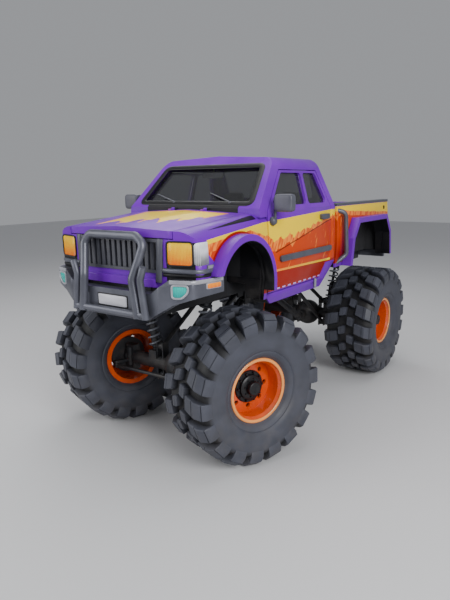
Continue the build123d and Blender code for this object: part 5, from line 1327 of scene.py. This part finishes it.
class TRUCK_OT_bed_trim(bpy.types.Operator):
    """Adds the ribs of the load floor and the tie-down buttons of the bed's sides"""

    bl_idname = "truck.bed_trim"
    bl_label = "Trim Bed"

    def execute(self, context):
        low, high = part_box("bed_floor")
        floor_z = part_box("cab_floor")[1].z
        rib_y = np.linspace(-0.45, 0.45, 10)
        ends = np.array([low.x + 0.05, low.x + 0.07, high.x - 0.07, high.x - 0.05])
        radius = [0.012, 0.022, 0.022, 0.012]
        ribs = [tube(np.stack([ends, np.full(4, y), np.full(4, floor_z)], -1), radius, 12, 0.5)
                for y in rib_y]
        piece("bed_ribs", join(*ribs), "bed", "chassis", 60.0)
        side_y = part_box("bed_sides")[1].y
        button = revolve([(1e-5, -0.004), (0.026, -0.004), (0.026, 0.003), (0.022, 0.006), (0.016, 0.006),
                          (0.013, 0.003), (1e-5, 0.004)], 28)
        button = moved(button, (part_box("bed_sides")[0].x + 0.15, side_y - 0.014, 2.125))
        piece("tie_down_buttons", both_sides(button), "black", "chassis")
        return {"FINISHED"}


# Stage


class TRUCK_OT_stage(bpy.types.Operator):
    """Adds the floor, the lights and the camera"""

    bl_idname = "truck.stage"
    bl_label = "Set Stage"

    def execute(self, context):
        scene = context.scene
        self.add_floor(scene)
        self.add_lights(scene)
        self.add_camera(scene)
        return {"FINISHED"}

    def add_floor(self, scene):
        """A wide pale floor."""
        lines = 61
        u = np.linspace(-30.0, 30.0, lines)
        x, y = np.meshgrid(u, u, indexing="ij")
        points = np.stack([x, y, np.zeros_like(x)], -1).reshape(-1, 3)
        mesh = bpy.data.meshes.new("floor")
        mesh.from_pydata(points.tolist(), [], quads(lines, lines).tolist())
        mesh.materials.append(shader("floor_paper", Base_Color=(0.62, 0.62, 0.63), Roughness=0.8)[0])
        floor = bpy.data.objects.new("floor", mesh)
        scene.collection.objects.link(floor)

    def add_lights(self, scene):
        """Even sky light and four soft area lights."""
        world = bpy.data.worlds.new("studio")
        world.use_nodes = True
        background = world.node_tree.nodes["Background"]
        background.inputs["Color"].default_value = (0.80, 0.82, 0.86, 1.0)
        background.inputs["Strength"].default_value = 0.42
        scene.world = world
        lights = (
            # name, place, aim, size, power
            ("key", (5.0, 8.0, 5.5), (0.3, 0.0, 1.3), 5.0, 800.0),
            ("fill", (7.5, -5.0, 4.5), (0.5, 0.0, 1.2), 6.0, 380.0),
            ("back", (-4.0, -4.5, 8.5), (-0.5, 0.0, 1.6), 5.0, 200.0),
            ("top", (0.0, 0.0, 9.0), (0.0, 0.0, 0.0), 6.0, 260.0),
        )
        for name, place, aim, size, power in lights:
            data = bpy.data.lights.new(name, "AREA")
            data.energy = power
            data.size = size
            lamp = bpy.data.objects.new(name, data)
            scene.collection.objects.link(lamp)
            lamp.location = place
            lamp.rotation_euler = (Vector(aim) - Vector(place)).to_track_quat("-Z", "Y").to_euler()

    def add_camera(self, scene):
        """The camera, turned by yaw, pitch and roll."""
        view = scene.truck_camera
        level = math.cos(view.pitch)
        forward = np.array([math.cos(view.yaw) * level, math.sin(view.yaw) * level, math.sin(view.pitch)])
        right = np.cross(forward, [0, 0, 1.0])
        right /= np.linalg.norm(right)
        up = np.cross(right, forward)
        c, s = math.cos(view.roll), math.sin(view.roll)
        data = bpy.data.cameras.new("camera")
        data.lens = view.focal
        data.sensor_width = 36.0
        data.shift_y = view.shift
        camera = bpy.data.objects.new("camera", data)
        scene.collection.objects.link(camera)
        turn = np.eye(4)
        turn[:3, 0] = right * c + up * s
        turn[:3, 1] = up * c - right * s
        turn[:3, 2] = -forward
        turn[:3, 3] = view.place
        camera.matrix_world = Matrix(turn.tolist())
        scene.camera = camera


class TRUCK_PT_panel(bpy.types.Panel):
    """Lists the build steps"""

    bl_idname = "TRUCK_PT_panel"
    bl_label = "Lug Tyre Pickup"
    bl_space_type = "VIEW_3D"
    bl_region_type = "UI"
    bl_category = "Truck"

    def draw(self, context):
        for operator in OPERATORS:
            self.layout.operator(operator.bl_idname)


SETTINGS = (
    ("truck_tyres", TyreSettings),
    ("truck_rims", RimSettings),
    ("truck_paint", PaintSettings),
    ("truck_camera", CameraSettings),
)
OPERATORS = (
    TRUCK_OT_panels,
    TRUCK_OT_tyres,
    TRUCK_OT_rims,
    TRUCK_OT_springs,
    TRUCK_OT_lamp_trim,
    TRUCK_OT_bumper_trim,
    TRUCK_OT_seals,
    TRUCK_OT_wipers,
    TRUCK_OT_mirrors,
    TRUCK_OT_seats,
    TRUCK_OT_bed_trim,
    TRUCK_OT_stage,
)


def register():
    """Adds the settings, operators and panel to Blender."""
    for name, settings in SETTINGS:
        bpy.utils.register_class(settings)
        setattr(bpy.types.Scene, name, bpy.props.PointerProperty(type=settings))
    for cls in (*OPERATORS, TRUCK_PT_panel):
        bpy.utils.register_class(cls)


def unregister():
    """Takes them out again."""
    for cls in (TRUCK_PT_panel, *reversed(OPERATORS)):
        bpy.utils.unregister_class(cls)
    for name, settings in reversed(SETTINGS):
        delattr(bpy.types.Scene, name)
        bpy.utils.unregister_class(settings)


def main():
    """Runs every step in order."""
    register()
    for operator in OPERATORS:
        family, name = operator.bl_idname.split(".")
        getattr(getattr(bpy.ops, family), name)()


if __name__ == "__main__":
    main()
